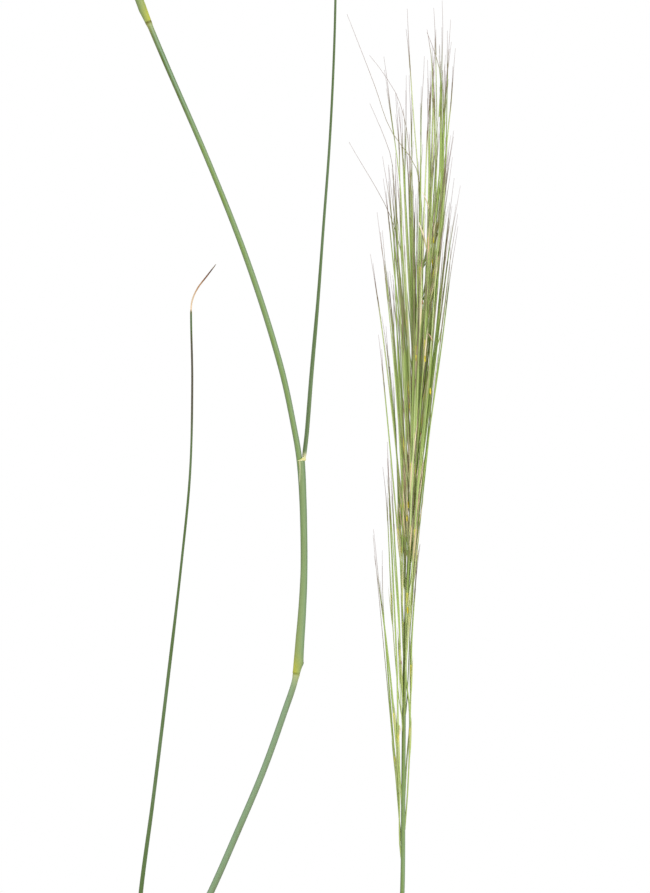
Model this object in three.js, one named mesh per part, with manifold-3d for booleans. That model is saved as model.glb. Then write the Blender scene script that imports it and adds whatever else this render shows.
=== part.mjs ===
// A tuft of three-awned grass in a plain clay pot: wiry jointed culms with long narrow panicles,
// rolled thread-like leaves, and a low crown of leafy shoots standing in potting soil.
// Millimetres, +Z up, origin at the middle of the pot's underside.
import * as THREE from "three";
import { mergeVertices } from "three/addons/utils/BufferGeometryUtils.js";
import Module from "manifold-3d";

const wasm = await Module();
wasm.setup();

// Pot
const POT_HEIGHT = 125;
const POT_FOOT_RADIUS = 50;
const POT_RIM_RADIUS = 72;
const POT_WALL = 5.5;
const POT_FLOOR = 7;
const POT_SEGMENTS = 36;
const FOOT_CHAMFER = 2;
const INNER_CHAMFER = 3;
const RIM_HEIGHT = 24;
const RIM_STEP = 4;
const RIM_ROUND = 3;
const LIP_ROUND = 1.2;
const DRAIN_RADIUS = 5;
const DRAIN_CIRCLE = 26;
const DRAIN_COUNT = 4;
const DRAIN_SIDES = 12;

// Soil
const SOIL_TOP = 112;
const SOIL_WAVE = 1.2;
const SOIL_RINGS = 4;
const SOIL_SHOULDER = 2;
const GAP = 0.3;
const HOLE_GAP = 0.5;
const HOLE_SIDES = 8;
const ROOT_DEPTH = 14;
const CULM_FOOT_RADIUS = 1.6;

// Crown of low shoots
const SHOOTS = 12;
const SHOOT_BLADES = 6;
const CROWN_RADIUS = 21;
const SHOOT_RADIUS = 1.7;
const SHEATH_HEIGHT = 30;
const SHEATH_TOP_RADIUS = 1.1;
const BLADE_LENGTH = 146;
const BLADE_HALF_WIDTH = 0.75;
const BLADE_HALF_DEPTH = 0.6;
const BLADE_STEPS = 6;
const BLADE_TAPER = 0.45;
const BLADE_BEND = 1.3;

// How the shoots change from the middle of the crown to its edge: [middle, edge], in radians
const SHOOT_LEAN = [0.02, 0.22];
const FAN = [2.4, 0.42];
const LEAN_START = [0.05, 0.38];
const LEAN_END = [0.7, 2];
const LEAN_DRAW = 0.1;
const SHORTEST_SHARE = 0.72;
const FOOT_BELOW_TOP = 4;
const FOOT_SCATTER = 14;

// The turn of the whole crown and the first of its draws, which keep its blades apart
const CROWN_TURN = 2.575;
const CROWN_DRAW = 105;

// Where a blade starts above a sheath's mouth, and how far from the middle of the stem
const MOUTH_GAP = 0.8;
const MOUTH_REACH = 1.75;

// Sides and steps of the swept sections
const CULM_SIDES = 8;
const AXIS_SIDES = 6;
const THIN_SIDES = 3;
const CULM_STEP = 12;
const STALK_STEP = 13;
const LEAF_STEP = 16;
const COLLAR_BLADE_STEP = 25;

// Even spreads that repeat the same way every time
const GOLDEN_ANGLE = Math.PI * (3 - Math.sqrt(5));
const SPREAD_STEPS = [0.7548776662, 0.569840291, 0.8191725134, 0.6710436067];

// The stems, each a smooth line through [x, y, z]
const LEFT_LINE = [
  [-29, 6, 98],
  [-29, 6, 114],
  [-31, 5.5, 150],
  [-36, 3, 200],
  [-36.5, 1, 240],
  [-33, 0, 249],
  [-26.4, 0, 262],
  [-17.4, 0, 282.3],
  [-8.9, 0, 302.2],
  [-1.6, 0, 322.2],
  [2.4, 0, 334],
  [3.7, 0, 348],
  [4.7, 0, 366],
  [4.7, 0, 385],
  [4.1, 0, 403],
  [2.6, 0, 414],
  [-3, 0, 437.6],
  [-13.5, 0, 470.9],
  [-26.5, 0, 504.1],
  [-40.9, 0, 537.4],
  [-50, 0, 558.5],
  [-62, -3, 586],
  [-76, -8, 616],
  [-92, -15, 646],
  [-112, -24, 680],
  [-134, -34, 712],
  [-158, -45, 742],
  [-184, -57, 769],
];
const RIGHT_LINE = [
  [25, -5, 98],
  [25, -5, 114],
  [28, -4.5, 150],
  [33, -3, 200],
  [36, -1, 232],
  [37.7, 0, 262],
  [38, 0, 290],
  [38.3, 0, 326],
  [38.9, 0, 352.8],
  [40.6, 0, 385],
  [42.6, 0, 422.7],
  [43.6, 0, 446],
  [44.3, 0, 480],
  [45.6, 0, 520],
  [47.5, 0, 560],
];
const OUTER_LINE = [
  [28, 12, 98],
  [28, 12, 113],
  [30, 12.5, 120],
  [44, 15, 143],
  [72, 20, 180],
  [104, 27, 214],
  [130, 33, 246],
  [141, 38, 285],
  [149, 42, 330],
  [157, 47, 380],
  [167, 52, 430],
  [178, 57, 480],
  [191, 63, 530],
  [207, 70, 580],
];
const TALL_LEAF_LINE = [
  [-27, -9, 98],
  [-27, -9, 114],
  [-33, -8, 140],
  [-43, -5, 172],
  [-50, -2, 210],
  [-51, 0, 240],
  [-49.7, 0, 262.3],
  [-45.5, 0, 292.3],
  [-40.6, 0, 332.2],
  [-35.9, 0, 372.1],
  [-33.1, 0, 402],
  [-32.4, 0, 432],
  [-32.9, 0, 455],
  [-32.2, 0, 459.2],
  [-30.6, 0, 463.2],
  [-27.6, 0, 467.2],
  [-24.6, 0, 470.9],
];
const COLLAR_BLADE_LINE = [
  [5.5, 0, 407.6],
  [6, 0, 415],
  [7.3, 0, 434.3],
  [9.5, 0, 459.2],
  [11.3, 0, 484.2],
  [13.2, 0, 509.1],
  [14.5, 0, 534.1],
  [15.2, 0, 559],
  [15.4, -2, 590],
  [14.6, -5, 622],
];

// The thickness of each stem: [height, radius], with its swollen nodes and its sheaths
const LEFT_PROFILE = [
  [98, 1.5],
  [118, 1.6],
  [180, 1.55],
  [243, 1.5],
  [244.2, 1.1],
  [331.5, 1.1],
  [333, 1.4],
  [335, 1.45],
  [337, 1.2],
  [350, 1.3],
  [402, 1.25],
  [406, 1.45],
  [407.2, 1],
  [546, 0.95],
  [549, 1.3],
  [552, 1.35],
  [554, 1.25],
  [575, 1.45],
  [604, 1.85],
];
const RIGHT_PROFILE = [
  [98, 1.4],
  [118, 1.45],
  [150, 1.4],
  [151, 1.05],
  [163, 1.05],
  [165, 1.4],
  [168, 1.4],
  [170, 1.25],
  [228, 1.8],
];
const OUTER_PROFILE = [
  [98, 1.4],
  [118, 1.45],
  [168, 1.4],
  [169, 1.1],
  [236, 1.05],
  [239, 1.45],
  [243, 1.45],
  [246, 1.25],
  [316, 1.8],
];
const TALL_LEAF_PROFILE = [
  [98, 1.4],
  [118, 1.5],
  [150, 1.2],
  [172, 0.75],
  [262, 0.58],
  [360, 0.48],
  [455, 0.4],
  [459.2, 0.39],
  [463.2, 0.38],
  [467.2, 0.35],
  [470.9, 0],
];
const COLLAR_BLADE_PROFILE = [
  [407.6, 0.6],
  [459, 0.57],
  [559, 0.4],
  [622, 0],
];
const PEDUNCLE_RADIUS = 0.75;
const SOCKET_DEPTH = 10;

// Leaf blades that arch away from a sheath's mouth: [name, culm line, height of the mouth,
// azimuth in degrees, lean from upright at the foot and at the tip in radians, length]
const CULM_BLADES = [
  ["blade_left_low", LEFT_LINE, 243, 150, 1.2, 2.4, 116],
  ["blade_left_flag", LEFT_LINE, 604, 35, 0.35, 1.7, 118],
  ["blade_right_low", RIGHT_LINE, 151, -72, 0.5, 1.7, 120],
  ["blade_right_flag", RIGHT_LINE, 228, -28, 0.95, 2.1, 104],
  ["blade_outer_low", OUTER_LINE, 169, 78, 0.6, 1.7, 125],
  ["blade_outer_flag", OUTER_LINE, 316, 8, 0.4, 1.9, 118],
];

// Short blades of the tall leaf's tiller: [height, azimuth in degrees, leans, length]
const TALL_LEAF_BLADES = [
  [136, 214, 0.5, 1.8, 120],
  [143, 172, 0.7, 2, 105],
];

// The heads. Each whorl of spikelets is [height, how many, sideways lean, spread],
// the last two in millimetres for each millimetre of rise. No tip stands above tips.
const RIGHT_WHORLS = [
  [277, 4, -0.05, 0.055],
  [287, 3, -0.02, 0.045],
  [318, 4, -0.035, 0.078],
  [334, 5, -0.045, 0.1],
  [348, 6, -0.045, 0.115],
  [360, 6, -0.035, 0.125],
  [372, 6, -0.035, 0.12],
  [386, 6, -0.025, 0.11],
  [400, 5, -0.015, 0.105],
  [412, 5, -0.005, 0.095],
  [424, 5, 0, 0.085],
  [436, 5, 0, 0.075],
  [447, 4, 0.015, 0.065],
  [458, 4, 0.03, 0.045],
  [469, 3, 0.035, 0.035],
];
const SIDE_WHORLS = [
  [0, 3, 0, 0.07],
  [16, 3, 0, 0.08],
  [29, 4, 0, 0.09],
  [40, 4, 0, 0.1],
  [50, 4, 0, 0.11],
  [59, 4, 0, 0.11],
  [67, 4, 0, 0.11],
  [75, 4, 0, 0.1],
  [83, 3, 0, 0.08],
];

// Single spikelets of the right head that stray from the rest, through [x, y, z]
const STRAYS = [
  [
    [37.6, 0, 276],
    [35.6, 1, 300],
    [32, 2, 339],
    [28, 3, 381],
  ],
  [
    [42.4, 0, 420],
    [44, -2, 470],
    [42.6, -4, 502],
    [33.6, -6, 516],
    [28.6, -7, 530],
    [19.3, -8, 554],
  ],
  [
    [42, 0, 412],
    [40, 3, 455],
    [34.6, 5, 485],
    [20, 8, 512],
  ],
  [
    [43, 0, 435],
    [43.4, -1, 492],
    [41.3, -2, 522],
    [38.9, -3, 556],
  ],
  [
    [43, 0, 430],
    [50, 1, 446],
    [53.6, 2, 472],
    [56.2, 3, 488],
  ],
];

const SIDE_TIPS = 160;
const raised = (foot) => SIDE_WHORLS.map(([rise, ...rest]) => [foot + rise, ...rest]);
const HEADS = [
  {
    name: "head_left",
    line: LEFT_LINE,
    mouth: 604,
    whorls: raised(622),
    tips: 608 + SIDE_TIPS,
    strays: [],
  },
  {
    name: "head_right",
    line: RIGHT_LINE,
    mouth: 228,
    whorls: RIGHT_WHORLS,
    tips: 557,
    strays: STRAYS,
  },
  {
    name: "head_outer",
    line: OUTER_LINE,
    mouth: 316,
    whorls: raised(350),
    tips: 350 + SIDE_TIPS,
    strays: [],
  },
];
const SPIKELET_SHORTEST = 78;
const SPIKELET_LONGEST = 104;
const TIP_SCATTER = 22;

// Each spikelet bows out of the rachis by so much in so short a rise, then leans steadily
const ROOT_FLARE = 1.1;
const FLARE_RISE = 5;

// The least share of the full spread, squared, and how much flatter a head is from front to back
const HOLLOW = 0.45;
const DEPTH_SHARE = 0.8;

// Where each spikelet's thickness changes: share of its length and radius there
const SPIKELET_PROFILE = [
  [0, 0.34],
  [0.06, 0.36],
  [0.19, 0.56],
  [0.36, 0.4],
  [0.68, 0.33],
  [1, 0],
];
const STRAY_RADIUS = 0.34;
const STRAY_TAPER_FROM = 0.6;
const RACHIS_TIP_RADIUS = 0.4;
const RACHIS_OVERRUN = 6;
const SLIVER = 0.03;

const spread = (count, channel) => (0.5 + count * SPREAD_STEPS[channel]) % 1;
const mix = (from, to, share) => from + (to - from) * share;

// Closed solids

function solidFrom(geometry) {
  geometry.deleteAttribute("normal");
  geometry.deleteAttribute("uv");
  const merged = mergeVertices(geometry, 1e-4);
  return new wasm.Manifold(
    new wasm.Mesh({
      numProp: 3,
      vertProperties: new Float32Array(merged.attributes.position.array),
      triVerts: new Uint32Array(merged.index.array),
    }),
  );
}

function geometryFrom(solid) {
  const mesh = solid.getMesh();
  const geometry = new THREE.BufferGeometry();
  geometry.setAttribute("position", new THREE.BufferAttribute(mesh.vertProperties, 3));
  geometry.setIndex(new THREE.BufferAttribute(mesh.triVerts, 1));
  geometry.computeVertexNormals();
  return geometry;
}

const join = (solids) => solids.reduce((all, next) => all.add(next)).simplify(SLIVER);

// A stem or blade: a cylinder whose rings are carried to a row of points.
// Its half width is measured along the direction across, its half depth square to that.
function sweep(points, across, halfWidths, halfDepths, sides) {
  const steps = points.length - 1;
  const pointed = halfWidths[steps] === 0;
  const geometry = new THREE.CylinderGeometry(pointed ? 0 : 1, 1, 1, sides, steps);
  const position = geometry.attributes.position;
  for (let i = 0; i < position.count; i++) {
    const ring = Math.round((position.getY(i) + 0.5) * steps);
    const reach = Math.hypot(position.getX(i), position.getZ(i));
    const turnX = reach > 1e-6 ? position.getX(i) / reach : 0;
    const turnZ = reach > 1e-6 ? position.getZ(i) / reach : 0;
    const before = points[Math.max(ring - 1, 0)];
    const after = points[Math.min(ring + 1, steps)];
    const tangent = after.clone().sub(before).normalize();
    const width = across.clone().addScaledVector(tangent, -across.dot(tangent)).normalize();
    const depth = width.clone().cross(tangent);
    const place = points[ring]
      .clone()
      .addScaledVector(width, turnX * halfWidths[ring])
      .addScaledVector(depth, turnZ * halfDepths[ring]);
    position.setXYZ(i, place.x, place.y, place.z);
  }
  return solidFrom(geometry);
}

// The middle of a stem at a height, on a smooth line through its points
function middleAt(line, height) {
  let k = 0;
  while (k < line.length - 2 && height > line[k + 1][2]) k++;
  const before = line[Math.max(k - 1, 0)];
  const from = line[k];
  const to = line[k + 1];
  const after = line[Math.min(k + 2, line.length - 1)];
  const span = to[2] - from[2];
  const u = (height - from[2]) / span;
  const [x, y] = [0, 1].map((axis) => {
    const leaving = ((to[axis] - before[axis]) / (to[2] - before[2])) * span;
    const arriving = ((after[axis] - from[axis]) / (after[2] - from[2])) * span;
    return (
      from[axis] * (2 * u ** 3 - 3 * u ** 2 + 1) +
      leaving * (u ** 3 - 2 * u ** 2 + u) +
      to[axis] * (3 * u ** 2 - 2 * u ** 3) +
      arriving * (u ** 3 - u ** 2)
    );
  });
  return new THREE.Vector3(x, y, height);
}

function valueAt(profile, at) {
  let k = 0;
  while (k < profile.length - 2 && at > profile[k + 1][0]) k++;
  const [start, low] = profile[k];
  const [end, high] = profile[k + 1];
  return mix(low, high, Math.min(Math.max((at - start) / (end - start), 0), 1));
}

// Heights between two ends, a step apart, together with those that a profile names
function heightsBetween(low, high, step, named = []) {
  const count = Math.round((high - low) / step);
  const even = Array.from({ length: count + 1 }, (_, i) => mix(low, high, i / count));
  const kept = even.filter((z) => named.every((other) => Math.abs(other - z) > step / 3));
  return [...new Set([low, ...kept, ...named, high])].sort((a, b) => a - b);
}

const upright = new THREE.Vector3(0, 0, 1);
const back = new THREE.Vector3(0, 1, 0);

// A round stem between two heights of a line, with its radius read from a profile
function stem(line, profile, step, sides) {
  const named = profile.map(([height]) => height);
  const heights = heightsBetween(named[0], named[named.length - 1], step, named);
  const radii = heights.map((z) => valueAt(profile, z));
  return sweep(
    heights.map((z) => middleAt(line, z)),
    back,
    radii,
    radii,
    sides,
  );
}

function stalk(line, low, high, lowRadius, highRadius) {
  const profile = [
    [low, lowRadius],
    [high, highRadius],
  ];
  return stem(line, profile, STALK_STEP, AXIS_SIDES);
}

// A jointed culm, with a socket in its uppermost sheath for the stalk of its head
function culm(line, profile) {
  const mouth = profile[profile.length - 1][0];
  const bore = PEDUNCLE_RADIUS + GAP;
  const socket = stalk(line, mouth - SOCKET_DEPTH, mouth + 1, bore, bore);
  return stem(line, profile, CULM_STEP, CULM_SIDES).subtract(socket);
}

// One spikelet with its awns as a single tapering strand, rooted in the rachis
function spikelet(line, root, tips, count, lean, reach) {
  const full = mix(SPIKELET_SHORTEST, SPIKELET_LONGEST, spread(count, 0));
  const length = Math.min(full, tips - TIP_SCATTER * spread(count, 2) - root);
  const turn = count * GOLDEN_ANGLE;
  const slope = reach * Math.sqrt(mix(HOLLOW, 1, spread(count, 1)));
  const points = SPIKELET_PROFILE.map(([share]) => {
    const rise = share * length;
    const out = slope * rise + ROOT_FLARE * (1 - Math.exp(-rise / FLARE_RISE));
    const middle = middleAt(line, root + rise);
    middle.x += rise * lean + out * Math.cos(turn);
    middle.y += DEPTH_SHARE * out * Math.sin(turn);
    return middle;
  });
  const radii = SPIKELET_PROFILE.map(([, radius]) => radius);
  return sweep(points, new THREE.Vector3(Math.cos(turn), Math.sin(turn), 0), radii, radii, THIN_SIDES);
}

function stray(line) {
  const low = line[0][2];
  const high = line[line.length - 1][2];
  const profile = [
    [low, STRAY_RADIUS],
    [mix(low, high, STRAY_TAPER_FROM), STRAY_RADIUS],
    [high, 0],
  ];
  return stem(line, profile, STALK_STEP, THIN_SIDES);
}

function head({ line, mouth, whorls, tips, strays }) {
  const top = whorls[whorls.length - 1][0] + RACHIS_OVERRUN;
  const foot = mouth - SOCKET_DEPTH + GAP;
  const solids = [stalk(line, foot, top, PEDUNCLE_RADIUS, RACHIS_TIP_RADIUS)];
  let count = 0;
  for (const [root, many, lean, reach] of whorls)
    for (let k = 0; k < many; k++) {
      solids.push(spikelet(line, root, tips, count, lean, reach));
      count++;
    }
  return join([...solids, ...strays.map(stray)]);
}

// The points of an arching blade: it leaves at one lean from upright and ends at another
function archedPoints(start, azimuth, leanStart, leanEnd, length) {
  const points = [start.clone()];
  const outward = new THREE.Vector3(Math.cos(azimuth), Math.sin(azimuth), 0);
  const stride = length / BLADE_STEPS;
  for (let i = 0; i < BLADE_STEPS; i++) {
    const lean = mix(leanStart, leanEnd, ((i + 0.5) / BLADE_STEPS) ** BLADE_BEND);
    const next = points[i].clone();
    next.addScaledVector(outward, Math.sin(lean) * stride);
    next.addScaledVector(upright, Math.cos(lean) * stride);
    points.push(next);
  }
  return points;
}

function archedBlade(start, azimuth, leanStart, leanEnd, length) {
  const points = archedPoints(start, azimuth, leanStart, leanEnd, length);
  const taper = points.map((_, i) => (i === BLADE_STEPS ? 0 : 1 - BLADE_TAPER * (i / BLADE_STEPS) ** 2));
  const across = new THREE.Vector3(-Math.sin(azimuth), Math.cos(azimuth), 0);
  return sweep(
    points,
    across,
    taper.map((share) => BLADE_HALF_WIDTH * share),
    taper.map((share) => BLADE_HALF_DEPTH * share),
    THIN_SIDES,
  );
}

// A blade that arches away from the mouth of a culm's sheath, a hair clear of the stem
function culmBlade(line, mouth, degrees, leanStart, leanEnd, length) {
  const azimuth = THREE.MathUtils.degToRad(degrees);
  const tangent = middleAt(line, mouth).sub(middleAt(line, mouth - 1)).normalize();
  const outward = new THREE.Vector3(Math.cos(azimuth), Math.sin(azimuth), 0);
  outward.addScaledVector(tangent, -outward.dot(tangent)).normalize();
  const start = middleAt(line, mouth);
  start.addScaledVector(tangent, MOUTH_GAP);
  start.addScaledVector(outward, MOUTH_REACH);
  return archedBlade(start, azimuth, leanStart, leanEnd, length);
}

function shootPlace(count) {
  const radius = CROWN_RADIUS * Math.sqrt((count + 0.5) / SHOOTS);
  const turn = (count + CROWN_TURN) * GOLDEN_ANGLE;
  return { x: radius * Math.cos(turn), y: radius * Math.sin(turn), turn, share: radius / CROWN_RADIUS };
}

// A low shoot: a sheathed tiller with a fan of blades that lean outwards, more so at the crown's edge
function shoot(count) {
  const { x, y, turn, share } = shootPlace(count);
  const drift = mix(...SHOOT_LEAN, share) * SHEATH_HEIGHT;
  const top = SOIL_TOP + SHEATH_HEIGHT;
  const line = [
    [x, y, SOIL_TOP - ROOT_DEPTH],
    [x, y, SOIL_TOP + 3],
    [x + Math.cos(turn) * drift, y + Math.sin(turn) * drift, top],
  ];
  const profile = [
    [line[0][2], SHOOT_RADIUS],
    [line[1][2], SHOOT_RADIUS],
    [top, SHEATH_TOP_RADIUS],
  ];
  const solids = [stem(line, profile, LEAF_STEP, AXIS_SIDES)];
  for (let k = 0; k < SHOOT_BLADES; k++) {
    const draw = CROWN_DRAW + count * SHOOT_BLADES + k;
    const fan = mix(...FAN, share) * (((k + 0.5) / SHOOT_BLADES) * 2 - 1);
    const start = middleAt(line, top - FOOT_BELOW_TOP - FOOT_SCATTER * spread(draw, 2));
    const leanStart = mix(...LEAN_START, share) + LEAN_DRAW * spread(draw, 0);
    const leanEnd = mix(...LEAN_END, share * 0.6 + 0.4 * spread(draw, 1));
    const length = BLADE_LENGTH * mix(SHORTEST_SHARE, 1, spread(draw, 3));
    solids.push(archedBlade(start, turn + fan, leanStart, leanEnd, length));
  }
  return join(solids);
}

// The tiller whose one long leaf stands high above the crown
function tallLeaf() {
  const solids = [stem(TALL_LEAF_LINE, TALL_LEAF_PROFILE, LEAF_STEP, AXIS_SIDES)];
  for (const [height, degrees, leanStart, leanEnd, length] of TALL_LEAF_BLADES) {
    const azimuth = THREE.MathUtils.degToRad(degrees);
    solids.push(archedBlade(middleAt(TALL_LEAF_LINE, height), azimuth, leanStart, leanEnd, length));
  }
  return join(solids);
}

// Pot and soil

const RIM_FOOT = POT_HEIGHT - RIM_HEIGHT;
const INNER_FOOT_RADIUS = outerRadius(POT_FLOOR) - POT_WALL;
const INNER_TOP_RADIUS = POT_RIM_RADIUS - POT_WALL - 1;
const INNER_FOOT = POT_FLOOR + INNER_CHAMFER;
const INNER_TOP = POT_HEIGHT - RIM_STEP;

function outerRadius(height) {
  return mix(POT_FOOT_RADIUS, POT_RIM_RADIUS - RIM_STEP, height / RIM_FOOT);
}

function innerRadius(height) {
  return mix(INNER_FOOT_RADIUS, INNER_TOP_RADIUS, (height - INNER_FOOT) / (INNER_TOP - INNER_FOOT));
}

function turned(outline) {
  const points = outline.map(([radius, height]) => new THREE.Vector2(radius, height));
  return new THREE.LatheGeometry(points, POT_SEGMENTS).rotateX(Math.PI / 2);
}

function standingCylinder(radius, height, sides, x, y, z) {
  const geometry = new THREE.CylinderGeometry(radius, radius, height, sides);
  geometry.rotateX(Math.PI / 2);
  geometry.translate(x, y, z);
  return solidFrom(geometry);
}

function pot() {
  const outside = [
    [0, 0],
    [POT_FOOT_RADIUS - FOOT_CHAMFER, 0],
    [POT_FOOT_RADIUS, FOOT_CHAMFER],
    [outerRadius(RIM_FOOT), RIM_FOOT],
    [POT_RIM_RADIUS - RIM_ROUND / 2, RIM_FOOT + RIM_ROUND / 3],
    [POT_RIM_RADIUS, RIM_FOOT + RIM_ROUND],
    [POT_RIM_RADIUS, POT_HEIGHT - RIM_ROUND],
    [POT_RIM_RADIUS - RIM_ROUND / 2, POT_HEIGHT - RIM_ROUND / 5],
    [POT_RIM_RADIUS - RIM_ROUND, POT_HEIGHT],
  ];
  const inside = [
    [INNER_TOP_RADIUS + LIP_ROUND / 2, POT_HEIGHT - LIP_ROUND],
    [INNER_TOP_RADIUS, INNER_TOP],
    [INNER_FOOT_RADIUS, INNER_FOOT],
    [INNER_FOOT_RADIUS - INNER_CHAMFER, POT_FLOOR],
    [0, POT_FLOOR],
  ];
  let clay = solidFrom(turned([...outside, ...inside]));
  for (let i = 0; i < DRAIN_COUNT; i++) {
    const turn = ((i + 0.5) / DRAIN_COUNT) * 2 * Math.PI;
    const x = DRAIN_CIRCLE * Math.cos(turn);
    const y = DRAIN_CIRCLE * Math.sin(turn);
    clay = clay.subtract(standingCylinder(DRAIN_RADIUS, POT_FLOOR * 3, DRAIN_SIDES, x, y, 0));
  }
  return clay;
}

// The soil fills the pot to its uneven top, with a plain blind hole for each stem
function soil(feet) {
  const topRadius = innerRadius(SOIL_TOP) - GAP - SOIL_SHOULDER;
  const outline = [
    [0, POT_FLOOR + GAP],
    [INNER_FOOT_RADIUS - INNER_CHAMFER - GAP, POT_FLOOR + GAP],
    [innerRadius(INNER_FOOT + GAP) - GAP, INNER_FOOT + GAP],
    [innerRadius(SOIL_TOP - SOIL_SHOULDER) - GAP, SOIL_TOP - SOIL_SHOULDER],
  ];
  for (let ring = SOIL_RINGS; ring >= 0; ring--)
    outline.push([(ring / SOIL_RINGS) * topRadius, SOIL_TOP]);
  const geometry = turned(outline);
  const position = geometry.attributes.position;
  for (let i = 0; i < position.count; i++) {
    if (position.getZ(i) < SOIL_TOP - SOIL_SHOULDER / 2) continue;
    position.setZ(i, SOIL_TOP + soilWave(position.getX(i), position.getY(i)));
  }
  const holeHeight = 2 * ROOT_DEPTH;
  const holeMiddle = SOIL_TOP - ROOT_DEPTH - GAP + holeHeight / 2;
  return feet.reduce(
    (left, { x, y, radius }) =>
      left.subtract(standingCylinder(radius + HOLE_GAP, holeHeight, HOLE_SIDES, x, y, holeMiddle)),
    solidFrom(geometry),
  );
}

function soilWave(x, y) {
  return SOIL_WAVE * Math.sin(x * 0.11 + 1) * Math.cos(y * 0.13);
}

// Assembly

const finish = (color, roughness) =>
  new THREE.MeshStandardMaterial({ color: new THREE.Color(...color), roughness, metalness: 0 });
const CLAY = finish([0.6, 0.27, 0.15], 0.85);
const EARTH = finish([0.09, 0.065, 0.045], 0.95);
const CULM_GREEN = finish([0.33, 0.42, 0.22], 0.5);
const BLADE_GREEN = finish([0.2, 0.29, 0.13], 0.55);
const HEAD_GREEN = finish([0.4, 0.44, 0.2], 0.6);

const group = new THREE.Group();

function place(name, solid, material) {
  const mesh = new THREE.Mesh(geometryFrom(solid), material);
  mesh.name = name;
  group.add(mesh);
}

const culmFeet = [LEFT_LINE, RIGHT_LINE, OUTER_LINE, TALL_LEAF_LINE].map(([[x, y]]) => ({
  x,
  y,
  radius: CULM_FOOT_RADIUS,
}));
const shootFeet = Array.from({ length: SHOOTS }, (_, count) => ({
  ...shootPlace(count),
  radius: SHOOT_RADIUS,
}));

place("pot", pot(), CLAY);
place("soil", soil([...culmFeet, ...shootFeet]), EARTH);
place("culm_left", culm(LEFT_LINE, LEFT_PROFILE), CULM_GREEN);
place("culm_right", culm(RIGHT_LINE, RIGHT_PROFILE), CULM_GREEN);
place("culm_outer", culm(OUTER_LINE, OUTER_PROFILE), CULM_GREEN);
for (const spec of HEADS) place(spec.name, head(spec), HEAD_GREEN);
const collarBlade = stem(COLLAR_BLADE_LINE, COLLAR_BLADE_PROFILE, COLLAR_BLADE_STEP, AXIS_SIDES);
place("blade_left_collar", collarBlade, BLADE_GREEN);
for (const [name, ...spec] of CULM_BLADES) place(name, culmBlade(...spec), BLADE_GREEN);
place("shoot_tall_leaf", tallLeaf(), BLADE_GREEN);
for (let count = 0; count < SHOOTS; count++)
  place(`shoot_${String(count + 1).padStart(2, "0")}`, shoot(count), BLADE_GREEN);

export default group;
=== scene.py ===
# %% [markdown]
# # A pot of three-awned grass
# The plant is a tuft of threads: jointed culms, rolled leaf blades no thicker than a wire, and long
# heads made of hundreds of bristles. A clay pot of potting mix holds it.
# The CAD model gives every stem its place and rough thickness. This notebook keeps those middle
# lines and builds the fine plant along them: sheaths with margins, nodes, glumes, awns and anthers.
# Lengths are written in millimetres, as a botanist would, and turned into metres in one place.

# %% Load the frame that everything is built around
import math

import bmesh
import bpy
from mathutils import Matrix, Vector, noise


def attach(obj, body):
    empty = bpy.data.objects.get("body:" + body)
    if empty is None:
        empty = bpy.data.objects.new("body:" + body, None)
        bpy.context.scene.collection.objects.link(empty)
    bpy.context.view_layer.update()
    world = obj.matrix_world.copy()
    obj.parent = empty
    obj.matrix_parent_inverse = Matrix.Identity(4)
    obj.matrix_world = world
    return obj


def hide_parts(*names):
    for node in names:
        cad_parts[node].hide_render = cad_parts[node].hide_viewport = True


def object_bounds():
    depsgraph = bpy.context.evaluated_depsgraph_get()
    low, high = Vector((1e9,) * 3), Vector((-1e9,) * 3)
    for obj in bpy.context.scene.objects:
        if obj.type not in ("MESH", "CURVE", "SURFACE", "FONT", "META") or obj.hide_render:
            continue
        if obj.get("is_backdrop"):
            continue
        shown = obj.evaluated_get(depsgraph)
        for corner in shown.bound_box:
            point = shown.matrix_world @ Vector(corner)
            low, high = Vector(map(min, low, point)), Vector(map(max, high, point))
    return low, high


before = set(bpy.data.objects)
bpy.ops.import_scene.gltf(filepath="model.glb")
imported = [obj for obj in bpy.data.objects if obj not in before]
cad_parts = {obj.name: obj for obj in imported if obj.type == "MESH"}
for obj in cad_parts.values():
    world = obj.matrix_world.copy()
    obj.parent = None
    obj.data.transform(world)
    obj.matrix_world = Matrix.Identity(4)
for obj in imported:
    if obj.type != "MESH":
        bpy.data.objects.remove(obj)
cad_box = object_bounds()
MM = 0.001
print("CAD box, mm:", [[round(value / MM) for value in corner] for corner in cad_box])

# %% [markdown]
# ## Even draws and smooth lines
# A plant is irregular, but a script has to give the same plant each time. Instead of a random
# generator, each leaf takes its numbers from steps of an irrational ratio. They never repeat, they
# never clump, and leaf 7 stays leaf 7 when leaf 8 is added.
# The stems are smooth curves through a few chosen points, so a height is enough to find a place.

# %% Draws that repeat the same way every time
GOLDEN_ANGLE = math.pi * (3 - math.sqrt(5))
SPREAD_STEPS = (0.7548776662, 0.569840291, 0.8191725134, 0.6710436067)


def spread(count, channel=0):
    """A number from 0 to 1 for a counted thing; the four channels are independent."""
    return (0.5 + count * SPREAD_STEPS[channel]) % 1


def mix(low, high, share):
    return low + (high - low) * share


def smooth_step(low, high, value):
    share = min(max((value - low) / (high - low), 0), 1)
    return share * share * (3 - 2 * share)


print("first draws:", [round(spread(count), 3) for count in range(4)])


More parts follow.
